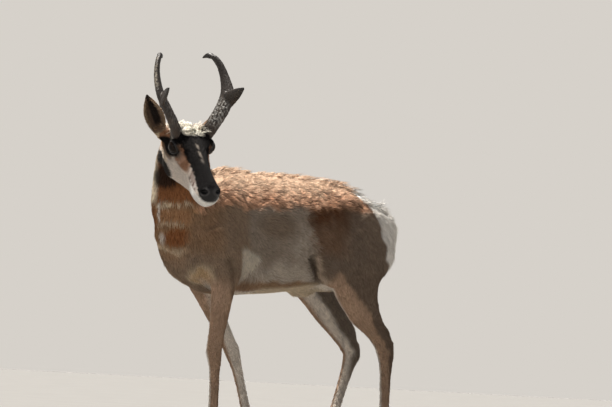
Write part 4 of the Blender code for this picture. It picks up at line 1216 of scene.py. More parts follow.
def bare_share(points):
    """1 on the bare skin of the nose and lids and 0 on the hair."""
    place = to_head(points)
    bare = blob(left_side(place), (0.306, 0.006, 0.012), (0.019, 0.027, 0.024), 0.6)
    for side in SIDES.values():
        bare = np.maximum(bare, rise(opening_share(place, side)[0], 1.30, 1.12))
    return bare


def set_number(obj, name, values):
    made = obj.data.attributes.new(name, "FLOAT", "POINT")
    made.data.foreach_set("value", np.asarray(values, dtype=np.float32))


def hide_finish():
    settings = {"Specular_IOR_Level": 0.08, "Coat_Roughness": 0.28}
    material, start, shader = new_finish("hide", 0.85, **settings)
    tone, bare = start.stored("tone"), start.stored("bare", output=2)
    place = start.own_place()
    long = start.node("Mapping", None, {"Vector": place, "Scale": (90.0, 420.0, 260.0)})
    hair = start.node("TexNoise", None, {"Vector": long, "Scale": 1.0, "Detail": 3.0})
    pores = start.node("TexVoronoi", None, {"Vector": place, "Scale": 620.0})
    height = hair * (1.0 - bare) + pores * bare * 0.7
    feed(shader, "Base Color", tone)
    feed(shader, "Roughness", 0.86 - bare * 0.46)
    feed(shader, "Coat Weight", bare * 0.5)
    feed(shader, "Normal", bump(start, height, 0.5, 0.0012))
    return material


skin = hide_finish()
set_number(hide, "bare", bare_share(hide_points))
hide.data.materials.append(skin)
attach(hide, "root")
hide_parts(*FLESH)
print("bare skin at", int((bare_share(hide_points) > 0.5).sum()), "points")

# %% [markdown]
# Hair has a direction. A rough one is set for each part, back along the trunk, down the legs and
# from the nose towards the poll, and it is then evened out over the hide like smoke, so that
# whorls and partings come by themselves where the parts meet.

# %% The lie of the hair


def nape_share(body):
    """1 on the ridge of the neck, where the short mane stands, and 0 beside it."""
    x, y, z = body.T
    ridge = rise(x - 0.5 * (z - 0.86), 0.392, 0.355)
    spine = np.interp(z, (0.84, 0.90, 0.97), (0.0, 0.012, 0.040))
    return ridge * rise(z, 0.835, 0.865) * rise(z, 1.01, 0.985) * rise(np.abs(y - spine), 0.045, 0.020)


def crown_share(place):
    """1 on the tuft between the horns and 0 away from it."""
    forward, left, up = place.T
    wide = rise(np.abs(left), 0.056, 0.046)
    return rise(forward, 0.102, 0.088) * rise(forward, -0.020, 0.005) * wide * rise(up, 0.030, 0.045)


def raw_lie(points, normals, weights):
    body = points - SHIFT
    x, y, z = body.T
    share = dict(zip(FLESH, weights.T))
    trunk = np.tile([-1.0, 0.0, -0.10], (len(body), 1))
    trunk[:, 2] -= 0.30 * rise(normals[:, 2], 0.7, 0.0) * rise(normals[:, 2], -0.9, -0.3)
    trunk = layer(trunk, np.array([-0.45, 0, -0.90]), rise(x, 0.17, 0.28) * rise(z, 0.80, 0.70))
    trunk = layer(trunk, np.array([-0.15, 0, -1.0]), rise(x, 0.32, 0.40))
    trunk = layer(trunk, np.array([-0.55, 0, -0.85]), rise(x, -0.08, -0.20) * rise(z, 0.80, 0.68))
    flared = unit(np.stack([-0.55 + 0 * x, 0.45 * y / 0.10, -0.80 + 0 * x], 1))
    trunk = layer(trunk, flared, rump_share(body))
    lie = trunk * share["torso"][:, None]
    lie += np.array([-0.34, -0.14, -0.93]) * share["neck"][:, None]
    lie += np.array([-0.30, 0.0, -0.95]) * share["tail"][:, None]
    place = to_head(points)
    back = np.stack([-np.ones(len(place)), 0.5 * place[:, 1] / 0.05, -0.25 + 0 * x], 1)
    back[:, 2] += 0.9 * rise(place[:, 2], 0.045, 0.065)
    back = layer(back, np.array([0.55, 0.0, 0.35]), crown_share(place) * rise(place[:, 0], 0.01, 0.05))
    lie += (unit(back) @ HEAD_AXES.T) * share["head"][:, None]
    for leg in LEGS:
        ahead = leg_axis(leg, z + 0.01)[0] - leg_axis(leg, z - 0.01)[0]
        down = np.stack([-ahead, 0 * z, -0.02 + 0 * z], 1)
        upper = rise(z, 0.50, 0.60)
        down = layer(unit(down), np.array([-0.5, 0, -0.87]), upper)
        lie += down * share[leg][:, None]
    return lie


def along_surface(vectors, normals):
    return unit(vectors - normals * np.sum(vectors * normals, 1)[:, None])


hide_normals = normals_of(hide)
lie = along_surface(raw_lie(hide_points, hide_normals, weights), hide_normals)
for _ in range(3):
    lie = along_surface(smooth(lie, hide_edges, 12, back=0), hide_normals)
print("lie set on", len(lie), "points")

# %% [markdown]
# Every tuft has a root on the hide. Roots are spread so that each triangle of the hide gets its
# share, and are gathered in clumps: the tips of a clump lean together and share a tone, which is
# what makes a coat look tufted.

# %% Roots


def spread_roots(obj, per_area, seed):
    """Roots over the surface, so many per square metre as each point asks for."""
    draw = np.random.default_rng(seed)
    obj.data.calc_loop_triangles()
    corners = np.empty(len(obj.data.loop_triangles) * 3, dtype=np.int64)
    obj.data.loop_triangles.foreach_get("vertices", corners)
    corners = corners.reshape(-1, 3)
    points = points_of(obj)
    a, b, c = (points[corners[:, k]] for k in range(3))
    area = np.linalg.norm(np.cross(b - a, c - a), axis=1) / 2
    wanted = np.cumsum(area * per_area[corners].mean(1))
    picks = np.arange(int(wanted[-1])) + draw.random(int(wanted[-1]))
    chosen = np.minimum(np.searchsorted(wanted, picks), len(corners) - 1)
    first, second = draw.random((2, len(picks)))
    folded = first + second > 1
    first, second = np.where(folded, 1 - first, first), np.where(folded, 1 - second, second)
    shares = np.stack([1 - first - second, first, second], 1)
    return corners[chosen], shares


def blend_at(values, corners, shares):
    """Values of the points, blended at each root."""
    return np.sum(values[corners] * shares[..., None], axis=1)


def clump_of(roots, size, area_each, seed):
    """The middle of the clump that each root belongs to, and the clump's number."""
    draw = np.random.default_rng(seed)
    count = max(int(len(roots) * area_each / size**2), 8)
    middles = roots[draw.choice(len(roots), min(count, len(roots)), replace=False)]
    tree = KDTree(len(middles))
    for index, middle in enumerate(middles):
        tree.insert(middle, index)
    tree.balance()
    number = np.array([tree.find(root)[1] for root in roots])
    return middles[number], number


print("roots and clumps can be drawn from", len(hide.data.polygons), "faces")

# %% [markdown]
# A tuft is a thin closed spike with three sides. A long one has a second ring half way, so that
# it can bend, and a short one is four triangles only, because there are tens of thousands of
# them. A tuft is painted darker towards its root, as shade between the tufts, and paler towards
# its tip. On its picture map each tuft is a small square at its root's place, measured along the
# body and round it.

# %% Tufts
# The points of each face, and where each point lies on the tuft's square: across, along
LONG_FACES = (
    (0, 2, 5), (0, 5, 3), (2, 1, 4), (2, 4, 5), (1, 0, 3), (1, 3, 4),
    (3, 5, 6), (5, 4, 6), (4, 3, 6), (0, 1, 2),
)
LONG_SPOTS = ((0, 0), (1, 0), (0.5, 0), (0, 0.5), (1, 0.5), (0.5, 0.5), (0.5, 1))
SHORT_FACES = ((0, 2, 3), (2, 1, 3), (1, 0, 3), (0, 1, 2))
SHORT_SPOTS = ((0, 0), (1, 0), (0.5, 0), (0.5, 1))
CAP_SPOTS = ((0, 0), (1, 0), (0.5, 0.2))
# Side of a tuft's square on the picture map
PATCH = 0.003


def tuft_points(root, out, way, sizes, long):
    """The points of closed spikes that leave the skin at root and lie along way."""
    length, width, lift, arch = (value[:, None] for value in sizes)
    side = np.cross(out, way)
    sunk = root - out * width * 0.35
    thick = width * 0.24
    ring = [sunk - side * width / 2, sunk + side * width / 2, sunk + out * (thick + width * 0.35)]
    tip = root + way * length + out * lift
    if long:
        middle = root + way * length * 0.52 + out * (lift * 0.5 + arch)
        half = width * 0.40
        ring += [middle - side * half, middle + side * half, middle + out * thick * 0.8]
    return np.stack(ring + [tip], 1)


def make_tufts(name, root, out, way, sizes, tone, spots, finish, long=True):
    """One piece of coat: all its tufts joined in a mesh, with its tone and its picture map."""
    points = tuft_points(root, out, way, sizes, long)
    each = points.shape[1]
    pattern = np.array(LONG_FACES if long else SHORT_FACES)
    faces = (pattern[None] + np.arange(len(root))[:, None, None] * each).reshape(-1, 3)
    mesh = bpy.data.meshes.new(name)
    mesh.vertices.add(len(root) * each)
    mesh.vertices.foreach_set("co", points.astype(np.float32).ravel())
    mesh.loops.add(faces.size)
    mesh.loops.foreach_set("vertex_index", faces.astype(np.int32).ravel())
    mesh.polygons.add(len(faces))
    mesh.polygons.foreach_set("loop_start", np.arange(0, faces.size, 3, dtype=np.int32))
    mesh.polygons.foreach_set("use_smooth", np.ones(len(faces), dtype=bool))
    mesh.update(calc_edges=True)
    made = add_object(name, mesh)

    # The roots are darkened as painted shade between the tufts, less on pale hair; tips are paler
    shade = np.array([0.70, 0.70, 0.78] + ([0.92, 0.92, 1.0] if long else []) + [1.16])
    shade = shade + (1 - shade) * 0.7 * rise(tone.mean(1), 0.45, 0.75)[:, None]
    colours = np.clip(tone[:, None] * shade[:, :, None], 0, 0.97)
    set_tone(made, colours.reshape(-1, 3))

    spot = np.array(LONG_SPOTS if long else SHORT_SPOTS)[pattern]
    spot[-1] = CAP_SPOTS
    fitted = fit_spots(spots)
    flat = fitted[:, None, None] + (spot[None] - 0.5) * PATCH
    mesh.uv_layers.new(name="OFBake").data.foreach_set("uv", flat.astype(np.float32).ravel())
    mesh.materials.append(finish)
    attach(made, "root")
    print(name, len(root), "tufts,", len(faces), "triangles")
    return made


def fit_spots(spots):
    """Stretches the roots' places on the unwrap over the whole square."""
    low, high = np.percentile(spots, 0.5, axis=0), np.percentile(spots, 99.5, axis=0)
    share = (spots - low) / np.maximum(high - low, 1e-6)
    return np.clip(share, 0, 1) * 0.96 + 0.02


print("a long tuft has", len(LONG_FACES), "triangles and a short one", len(SHORT_FACES))

# %% [markdown]
# The unwrap follows the body's own axes. On the trunk and neck it is the distance back and the
# angle round the spine, on a leg the height and the angle round the bone, with the legs side by
# side, and on the head the distance from the nose and the angle round the muzzle.

# %% The unwrap of the hide


def unwrap(points, weights):
    body = points - SHIFT
    x, y, z = body.T
    best = np.argmax(weights, axis=1)
    flat = np.stack([x, np.arctan2(y, z - 0.68) / 4], 1)
    on_neck = best == FLESH.index("neck")
    flat[on_neck] = np.stack([0.6 - z, np.arctan2(y - 0.02, x - 0.33) / 4], 1)[on_neck]
    place = to_head(points)
    on_head = best == FLESH.index("head")
    flat[on_head] = np.stack([place[:, 0], np.arctan2(place[:, 1], place[:, 2]) / 12], 1)[on_head]
    for number, leg in enumerate(LEGS):
        forward, side = leg_axis(leg, z)
        angle = np.arctan2(x - forward, y * side - LEG_OUT)
        here = best == FLESH.index(leg)
        flat[here] = np.stack([angle / 7 + number, z * 4], 1)[here]
    return flat


print("unwrap runs over", np.round(np.ptp(unwrap(hide_points, weights), axis=0), 2))

# %% [markdown]
# Hair is dull, with fine flecks of light and dark that run on as bump, so that a tuft looks like
# many hairs.

# %% Finish of the coat


def coat_finish(name, roughness=0.75):
    material, start, shader = new_finish(name, roughness, Specular_IOR_Level=0.10)
    tone = start.stored("tone")
    place = start.own_place()
    fleck = start.node("TexNoise", None, {"Vector": place, "Scale": 700.0, "Detail": 1.0})
    shade = fleck.step(0.25, 0.75) * 0.30 + 0.85
    grey = start.node("CombineXYZ", None, {"X": shade, "Y": shade, "Z": shade})
    flecked = start.node("VectorMath", {"operation": "MULTIPLY"}, {0: tone, 1: grey})
    feed(shader, "Base Color", flecked)
    feed(shader, "Normal", bump(start, fleck, 0.25, 0.0006))
    return material


coat = coat_finish("hair")
print("finish", coat.name)

# %% [markdown]
# The lengths follow the animal: about two centimetres on trunk and neck, one on the shanks, half
# a centimetre on the muzzle, three on the rump patch, five in the mane of the nape and a little
# over two in the crown's tuft. Bare skin and the hooves get no roots.

# %% Sizes of the hair
# Length, width, how far the tips stand off, for each part
HAIR = {
    "torso": (0.0200, 0.0028, 0.0030),
    "neck": (0.0190, 0.0028, 0.0034),
    "head": (0.0090, 0.0017, 0.0015),
    "tail": (0.0330, 0.0032, 0.0060),
    "foreleg": (0.0160, 0.0026, 0.0028),
    "hindleg": (0.0160, 0.0026, 0.0028),
}
SADDLE_HAIR = (0.0180, 0.0026, 0.0021)
SHANK_HAIR = (0.0095, 0.0020, 0.0016)
MUZZLE_HAIR = (0.0048, 0.0013, 0.0006)
RUMP_HAIR = (0.0300, 0.0028, 0.0042)
MANE_HAIR = (0.0500, 0.0034, 0.0130)
CROWN_HAIR = (0.0240, 0.0022, 0.0070)
# How many times over the tufts cover the hide
COVER = {"long": 2.0, "short": 1.5}
LOWEST_ROOT = 0.028


def hair_sizes(points, weights):
    body = points - SHIFT
    place = to_head(points)
    on_head = share_of("head", weights)
    sizes = from_parts(weights, HAIR)
    sizes = layer(sizes, np.array(SADDLE_HAIR), saddle_share(body) * share_of("torso", weights))
    shank = rise(body[:, 2], 0.50, 0.42)
    sizes = layer(sizes, np.array(SHANK_HAIR), shank * rise(place[:, 0], -0.05, -0.10))
    muzzle = rise(place[:, 0], 0.12, 0.24) * on_head
    sizes = layer(sizes, np.array(MUZZLE_HAIR), muzzle)
    near_eye = np.zeros(len(points))
    for side in SIDES.values():
        near_eye = np.maximum(near_eye, rise(opening_share(place, side)[1], 0.045, 0.030))
    sizes = layer(sizes, np.array(MUZZLE_HAIR), near_eye * on_head)
    sizes = layer(sizes, np.array(RUMP_HAIR), rump_share(body) * (on_head < 0.4))
    sizes = layer(sizes, np.array(MANE_HAIR), nape_share(body) * (on_head < 0.6))
    return layer(sizes, np.array(CROWN_HAIR), crown_share(place) * on_head)


sizes = hair_sizes(hide_points, weights)
body = hide_points - SHIFT
on_head = share_of("head", weights)
tufted = crown_share(to_head(hide_points)) > 0.4
is_short = ((on_head > 0.5) & ~tufted) | ((body[:, 2] < 0.46) & (on_head < 0.2))
cover = np.where(is_short, COVER["short"], COVER["long"])
per_area = cover / (sizes[:, 0] * sizes[:, 1] / 2)
per_area *= 1 - bare_share(hide_points)
per_area[body[:, 2] < LOWEST_ROOT] = 0
corners, shares = spread_roots(hide, per_area, 61)
root = blend_at(hide_points, corners, shares)
out = unit(blend_at(hide_normals, corners, shares))
way = along_surface(blend_at(lie, corners, shares), out)
size = blend_at(sizes, corners, shares)
root_weights = blend_at(weights, corners, shares)
short = blend_at(is_short[:, None].astype(float), corners, shares)[:, 0] > 0.5
print(len(root), "roots,", int(short.sum()), "of them short")

# %% [markdown]
# The flanks lie flat. The back's hair is clumped and stands up a little along the edge of the
# saddle, as the photo shows it. What a tuft is like is partly its clump's and partly its own, so
# one random draw is shared by a clump and another is the tuft's alone.

# %% Clumps
CLUMP = {"saddle": 0.0115, "body": 0.009, "short": 0.005}
# More clumps than any group has, so that the groups' numbers stay apart
MOST_CLUMPS = 200000
draw = np.random.default_rng(71)
body = root - SHIFT
place = to_head(root)
saddle = saddle_share(body) * (share_of("torso", root_weights) > 0.3)
mane = np.maximum(nape_share(body), crown_share(place) * share_of("head", root_weights))
middle = np.empty_like(root)
clump = np.empty(len(root), dtype=np.int64)
groups = (("saddle", ~short & (saddle > 0.5)), ("body", ~short & (saddle <= 0.5)), ("short", short))
for index, (group, inside) in enumerate(groups):
    layers = COVER["short" if group == "short" else "long"]
    each = np.median(size[inside, 0] * size[inside, 1] / 2) / layers
    middle[inside], number = clump_of(root[inside], CLUMP[group], each, 72 + index)
    clump[inside] = number + MOST_CLUMPS * index
_, clump = np.unique(clump, return_inverse=True)
clump_draw = draw.normal(size=(clump.max() + 1, 4))[clump]
print("clumps", int(clump.max() + 1))

# %% [markdown]
# The draws now bend the tufts. Those of a clump lean towards its middle and turn the same way, a
# fringe stands up along the saddle's lower edge, and the hair on the hocks lies flat.

# %% Bent tufts


def varied(column, of_clump, of_tuft, low, high):
    """A random factor round 1 for each tuft: in part its clump's and in part its own."""
    own = draw.normal(size=len(root))
    return np.clip(1 + of_clump * clump_draw[:, column] + of_tuft * own, low, high)


offset = root - middle
side = np.cross(out, way)
gather = np.where(short, 0.2, 0.25 + 0.40 * np.maximum(saddle, mane))
lean = -side * (np.sum(offset * side, 1) * gather)[:, None]
turn = 0.07 + 0.09 * saddle + 0.25 * mane
way_turned = way + side * (clump_draw[:, 0] * turn + draw.normal(size=len(root)) * 0.09)[:, None]
way_turned = along_surface(way_turned * size[:, :1] + lean, out)
length = size[:, 0] * varied(1, 0.14, 0.12, 0.6, 1.5)
width = size[:, 1] * draw.uniform(0.8, 1.2, len(root))
edge = np.interp(body[:, 0], *SADDLE_LINE)
fringe = saddle * rise(body[:, 2] - edge, 0.07, 0.01)
spread = 0.16 + 0.30 * mane + 0.20 * saddle
lift = size[:, 2] * varied(2, spread, 0.12, 0.25, 1.9)
flat = saddle * rise(body[:, 2] - edge, 0.05, 0.12)
lift = lift * (1 + 1.6 * fringe) * (1 - 0.60 * flat)
hock = hock_share(body)
length = length * (1 - 0.45 * hock)
lift = lift * (1 - 0.75 * hock)
arch = lift * 0.18
tone = coat_tone(root, root_weights)
contrast = 0.05 + 0.27 * saddle * rise(body[:, 2] - edge, 0.10, 0.02)
tone = tone * varied(3, contrast, 0.05, 0.35, 1.6)[:, None]
spots = unwrap(root, root_weights)
print("median length", round(float(np.median(length)), 4), "and lift", round(float(np.median(lift)), 4))

# %% [markdown]
# The coat is parted into pieces that a groomer would name. A tuft belongs to the piece that its
# root stands in.


def coat_pieces():
    """Which tufts belong to which piece, by where their roots are."""
    best = np.argmax(root_weights, axis=1)
    on = {name: best == index for index, name in enumerate(FLESH)}
    fore = on["foreleg_left"] | on["foreleg_right"]
    hind = on["hindleg_left"] | on["hindleg_right"]
    rump = (rump_share(body) > 0.5) & ~on["head"] & ~on["tail"]
    trunk = on["torso"] & ~rump
    high = saddle_share(body) > 0.5
    low = trunk & ~high & (out[:, 2] < -0.55)
    sides = trunk & ~high & ~low
    tufted = mane > 0.5
    return {
        "coat_saddle": trunk & high & ~short & ~tufted,
        "coat_belly": low & ~short,
        "coat_sides": sides & ~short & ~tufted,
        "coat_neck": (on["neck"] & ~short & ~tufted) | (on["head"] & ~short & ~tufted),
        "coat_mane": tufted & ~short & ~on["head"],
        "coat_crown": tufted & ~short & on["head"],
        "coat_shoulders": fore & ~rump & ~short,
        "coat_haunches": hind & ~rump & ~short,
        "coat_rump": rump & ~short,
        "coat_tail": on["tail"] & ~short,
        "coat_face": on["head"] & short,
        "coat_forelegs": (fore | trunk) & short,
        "coat_hindlegs": hind & short,
    }


total = 0
for name, inside in coat_pieces().items():
    long = not short[inside].all()
    sizes = [value[inside] for value in (length, width, lift, arch)]
    looks = tone[inside], spots[inside], coat, long
    piece = make_tufts(name, root[inside], out[inside], way_turned[inside], sizes, *looks)
    total += len(piece.data.polygons)
print("coat", total, "triangles")

# %% [markdown]
# A horn's sheath is made of the same stuff as a hoof. Its solid already has the right sweep, with
# flat facets, so a copy is merged and melted into fine faces. The distance along the horn is
# measured on its middle line, which the solid also follows.

# %% Middle lines of the horns
HORN_VOXEL = 0.0014
HORN_LINE = (
    (0.086, 0.0450, 0.069), (0.086, 0.0525, 0.086), (0.078, 0.0680, 0.115), (0.064, 0.0860, 0.145),
    (0.043, 0.1010, 0.170), (0.018, 0.1070, 0.188), (-0.017, 0.1060, 0.208), (-0.048, 0.0990, 0.226),
    (-0.076, 0.0860, 0.234), (-0.093, 0.0740, 0.228), (-0.102, 0.0630, 0.213),
)
PRONG_LINE = (
    (0.033, 0.0960, 0.154), (0.048, 0.1010, 0.170), (0.066, 0.1065, 0.195),
    (0.085, 0.1120, 0.221), (0.104, 0.1175, 0.246),
)
HORN_BROAD = np.array([0.90, 0.43, 0.11])


def melted_copy(name, node, voxel):
    """A copy of a solid with fine even faces in place of its facets."""
    made = add_object(name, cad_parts[node].data.copy())
    work = bmesh.new()
    work.from_mesh(made.data)
    bmesh.ops.remove_doubles(work, verts=work.verts, dist=SAME_POINT)
    work.to_mesh(made.data)
    work.free()
    made.data.materials.clear()
    return melt(made, voxel)


def along_line(place, line):
    """How far along a line each point lies, from 0 to 1, how far off, and the way off."""
    line = np.array(line)
    steps = np.linspace(0, len(line) - 1, 90)
    dense = np.stack([np.interp(steps, range(len(line)), line[:, k]) for k in range(3)], 1)
    away = np.linalg.norm(place[:, None] - dense[None], axis=2)
    nearest = np.argmin(away, axis=1)
    return nearest / (len(dense) - 1), away.min(axis=1), place - dense[nearest]


print("horn's tip is at", along_line(np.array(HORN_LINE[-1:]), HORN_LINE)[0], "of its line")

# %% [markdown]
# The sheath is smoothed, most at the fork and the hook. Long ridges and small knobs are then
# pressed into it, strongest low down, and they fade towards the tip. It is dark, with pale rubbed
# patches low on the inner side, and it gets glossier towards the tips.

# %% Horns

def horn(name, side, finish):
    made = melted_copy("sheath_" + name, "horn_" + name, HORN_VOXEL)
    edges = edges_of(made)
    points = smooth(points_of(made), edges, 24)
    place = to_head(points) * (1, side, 1)
    along = along_line(place, HORN_LINE)[0]
    fork = band(along, 0.36, 0.13) * rise(along_line(place, PRONG_LINE)[0], 0.80, 0.50)
    hook = rise(along, 0.60, 0.72)
    points = smooth(points, edges, 80, np.maximum(fork, hook), back=-0.30)
    set_points(made, points)
    place = to_head(points) * (1, side, 1)
    along, off, ray = along_line(place, HORN_LINE)
    prong_along, prong_off, _ = along_line(place, PRONG_LINE)
    on_prong = rise(off - prong_off, -0.004, 0.006) * rise(prong_along, 0.2, 0.4)
    across = np.cross(HORN_BROAD, np.array([-0.35, 0.35, 0.87]))
    angle = np.arctan2(ray @ unit(across), ray @ unit(HORN_BROAD))
    twist = angle + 2.2 * along + 0.25 * ripple(place, 0.02, 81)
    low = rise(along, 0.62, 0.20)
    ridges = np.sin(twist * 11) * 0.00050 + np.sin(twist * 23) * 0.00022
    knobs = np.maximum(ripple(place, 0.0075, 82), 0) * 0.00085
    height = ridges * (0.35 + 0.65 * low) + knobs * (0.25 + 0.75 * low)
    height = height * (1 - on_prong * 0.5) * rise(along, 1.0, 0.85)
    flare = 0.0016 * rise(along, 0.13, 0.06)
    points = points + normals_of(made) * (height + flare)[:, None]
    set_points(made, points)
    shade_soft(made)

    tip = np.maximum(rise(along, 0.62, 0.95), rise(prong_along, 0.6, 1.0) * on_prong)
    tone = np.tile(paint(42, 34, 28), (len(points), 1))
    tone = layer(tone, paint(70, 54, 40), 0.5 * low * rise(ripple(place, 0.03, 83), -0.6, 0.8))
    tone = layer(tone, paint(26, 23, 22), tip)
    # The grooves are painted darker, as the shade that falls in them
    tone = tone * (1 - 0.35 * rise(height, 0.0001, -0.0003))[:, None]
    inner = rise(-ray[:, 1] + 0.5 * ray[:, 0], -0.002, 0.006)
    rubbed = rise(along, 0.13, 0.19) * rise(along, 0.42, 0.33) * (1 - on_prong)
    rubbed = rubbed * (inner if side > 0 else 0.3 * inner)
    chips = rise(ripple(place * (1, 1, 0.5), 0.006, 84) + 0.5 * ripple(place, 0.0028, 85), -0.5, 0.8)
    tone = layer(tone, paint(160, 158, 152), 0.75 * rubbed * chips)
    # The right horn's outer edge gets pale chips: partly wear, partly a painted highlight
    if side < 0:
        worn_and_lit_edge = rise(along, 0.45, 0.55) * rise(along, 0.86, 0.72) * rise(ray[:, 1], 0.001, 0.006)
        tone = layer(tone, paint(150, 140, 122), 0.7 * worn_and_lit_edge * chips)
    set_tone(made, tone)
    set_number(made, "gloss", 0.25 + 0.75 * tip)
    made.data.materials.append(finish)
    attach(made, "root")
    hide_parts("horn_" + name)
    print("sheath", name, triangles_of(made), "triangles")


def horn_finish():
    material, start, shader = new_finish("sheath", 0.5)
    tone, gloss = start.stored("tone"), start.stored("gloss", output=2)
    place = start.own_place()
    grain = start.node("TexNoise", None, {"Vector": place, "Scale": 380.0, "Detail": 4.0})
    feed(shader, "Base Color", (grain.step(0.35, 0.7) * 0.35).mix(tone, rgba(56, 45, 36)))
    feed(shader, "Roughness", 0.56 - gloss * 0.20 + grain * 0.12)
    feed(shader, "Normal", bump(start, grain, 0.45, 0.0009))
    return material


sheath = horn_finish()
for name, side in SIDES.items():
    horn(name, side, sheath)

# %% [markdown]
# The eye of a pronghorn is one of the largest of any hoofed animal, and nearly black. It is a
# ball with a slight bulge in front, and its colour, a brown iris round a pupil that lies flat
# like a slot, is set point by point. A smooth, glossy shader does the rest.

# %% Eyes
CORNEA_RISE = 0.0010
BALL_SIZES = {"u_segments": 72, "v_segments": 48, "radius": EYE_RADIUS - 0.0001}


def eye_finish():
    material, start, shader = new_finish("eyeball", 0.16, Specular_IOR_Level=0.11)
    tone = start.stored("tone")
    place = start.own_place()
    fleck = start.node("TexNoise", None, {"Vector": place, "Scale": 900.0, "Detail": 2.0})
    feed(shader, "Base Color", (fleck.step(0.4, 0.8) * 0.25).mix(tone, rgba(40, 26, 18)))
    return material


def eyeball(name, side, finish):
    out, forward, up = eye_frame(side)
    turned = Matrix((forward, up, out)).transposed().to_4x4()
    work = bmesh.new()
    bmesh.ops.create_uvsphere(work, **BALL_SIZES)
    mesh = bpy.data.meshes.new("ball_" + name)
    work.to_mesh(mesh)
    work.free()
    made = add_object("ball_" + name, mesh)
    local = points_of(made)
    share = unit(local)[:, 2]
    local = local * (1 + CORNEA_RISE / EYE_RADIUS * rise(share, 0.70, 0.90))[:, None]
    wide = np.linalg.norm(local[:, :2], axis=1)
    tone = np.tile(paint(38, 31, 27), (len(local), 1))
    tone = layer(tone, paint(20, 14, 11), rise(wide, 0.0176, 0.0160) * (share > 0))
    streaks = 0.5 + 0.5 * np.sin(np.arctan2(local[:, 1], local[:, 0]) * 40)
    tone = layer(tone, paint(44, 28, 18), streaks * rise(wide, 0.0135, 0.0105) * (share > 0) * 0.5)
    slot = np.linalg.norm(local[:, :2] / np.array([0.0090, 0.0048]), axis=1)
    tone = layer(tone, paint(8, 7, 8), rise(slot, 1.1, 0.9) * (share > 0))
    local = local @ np.array(turned.to_3x3()).T + eye_middle(side)
    set_points(made, from_head(local))
    set_tone(made, tone)
    made.data.materials.append(finish)
    shade_soft(made)
    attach(made, "root")
    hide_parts("eye_" + name)
    print("ball", name, "at", np.round(from_head(eye_middle(side)), 3))


eye_gloss = eye_finish()
for name, side in SIDES.items():
    eyeball(name, side, eye_gloss)

# %% [markdown]
# A pronghorn walks on two hooves a foot and has no dewclaws. Each hoof is a tube of rings from
# the flat sole to the rim under the hair, pointed at the toe. Fine growth rings run round the
# wall, and the top is drawn in and up under the coat so that no gap shows there.

# %% Hooves
HOOF_LENGTH, HOOF_WIDTH = 0.064, 0.0225
HOOF_TOE_HEIGHT, HOOF_HEEL_HEIGHT = 0.040, 0.024
RIM_SHARE = 0.74
TOE_LEAN, TOE_TAPER, CLEFT = 0.010, 0.38, 0.0012
HOOF_SIDES, HOOF_LEVELS = 44, 30
RING_SIZE = 0.00022
INNER_SHARE = 0.86
FORE_STANCE, HIND_STANCE = 0.080, 0.083


def hoof_ring(foot, level, side):
    """One ring of a hoof's wall, from the sole at level 0 to the rim at 1 and on up inside."""
    angle = 2 * math.pi * np.arange(HOOF_SIDES) / HOOF_SIDES
    c, s = np.cos(angle), np.sin(angle)
    wall = min(level, 1.0)
    sole = 1 - 0.06 * (1 - min(level / 0.10, 1.0)) ** 2
    inside = max(level - 1.0, 0.0)
    ring = 1 + RING_SIZE / HOOF_WIDTH * 2 * math.sin(level * 46) * (level < 1) * (level > 0.12)
    size = sole * ring * (1 - inside * 1.1)
    length = HOOF_LENGTH * size * (1.03 - (1.03 - RIM_SHARE) * wall) / 2
    width = HOOF_WIDTH * size * (1.0 - 0.06 * wall) / 2
    taper = 1 - TOE_TAPER * np.maximum(c, 0) ** 2
    x = c * length + TOE_LEAN * (1 - wall)
    y = s * width * taper * np.where(s > 0, 1, INNER_SHARE) + HOOF_WIDTH / 2
    y = side * (y + CLEFT * (1 - np.maximum(c, 0)))
    middle = (HOOF_TOE_HEIGHT + HOOF_HEEL_HEIGHT) / 2
    slope = (HOOF_TOE_HEIGHT - HOOF_HEEL_HEIGHT) / (RIM_SHARE * HOOF_LENGTH)
    z = wall * (middle + slope * x) + inside * 0.022
    return foot + np.stack([x, y, z], 1)


def tube(rings, sides):
    faces = []
    for i in range(rings - 1):
        for k in range(sides):
            a, b = i * sides + k, i * sides + (k + 1) % sides
            faces.append((a, b, b + sides, a + sides))
    return faces + [tuple(reversed(range(sides))), tuple(range((rings - 1) * sides, rings * sides))]


def face_out(obj):
    work = bmesh.new()
    work.from_mesh(obj.data)
    bmesh.ops.recalc_face_normals(work, faces=work.faces)
    work.to_mesh(obj.data)
    work.free()


def hoof_finish():
    material, start, shader = new_finish("hoof_wall", 0.5)
    place = start.own_place()
    bands = start.node("Mapping", None, {"Vector": place, "Scale": (60.0, 60.0, 900.0)})
    ring = start.node("TexNoise", None, {"Vector": bands, "Scale": 1.0, "Detail": 2.0})
    height = start.node("SeparateXYZ", None, {"Vector": place}, output=2)
    dust = height.step(0.030, 0.004) * 0.55 + ring.step(0.5, 0.8) * 0.2
    feed(shader, "Base Color", dust.mix(rgba(42, 37, 34), rgba(120, 104, 86)))
    feed(shader, "Roughness", 0.42 + dust * 0.4)
    feed(shader, "Normal", bump(start, ring, 0.5, 0.0005))
    return material


def hoof(leg, name, side, finish):
    forward, out = leg_axis(leg, 0.01)
    stance = FORE_STANCE if leg.startswith("fore") else HIND_STANCE
    foot = np.array([float(forward), out * stance, 0.0]) + SHIFT
    levels = np.concatenate([np.linspace(0, 1, HOOF_LEVELS), (1.12, 1.25, 1.4)])
    rings = np.concatenate([hoof_ring(foot, level, side) for level in levels])
    mesh = bpy.data.meshes.new("wall_" + leg + "_" + name)
    mesh.from_pydata(rings.tolist(), [], tube(len(levels), HOOF_SIDES))
    mesh.materials.append(finish)
    made = add_object(mesh.name, mesh)
    face_out(made)
    shade_soft(made)
    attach(made, "root")
    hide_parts("hoof_" + leg + "_" + name)


hoof_horn = hoof_finish()
for leg in LEGS:
    for name, side in SIDES.items():
        hoof(leg, name, side, hoof_horn)
print("hooves made")

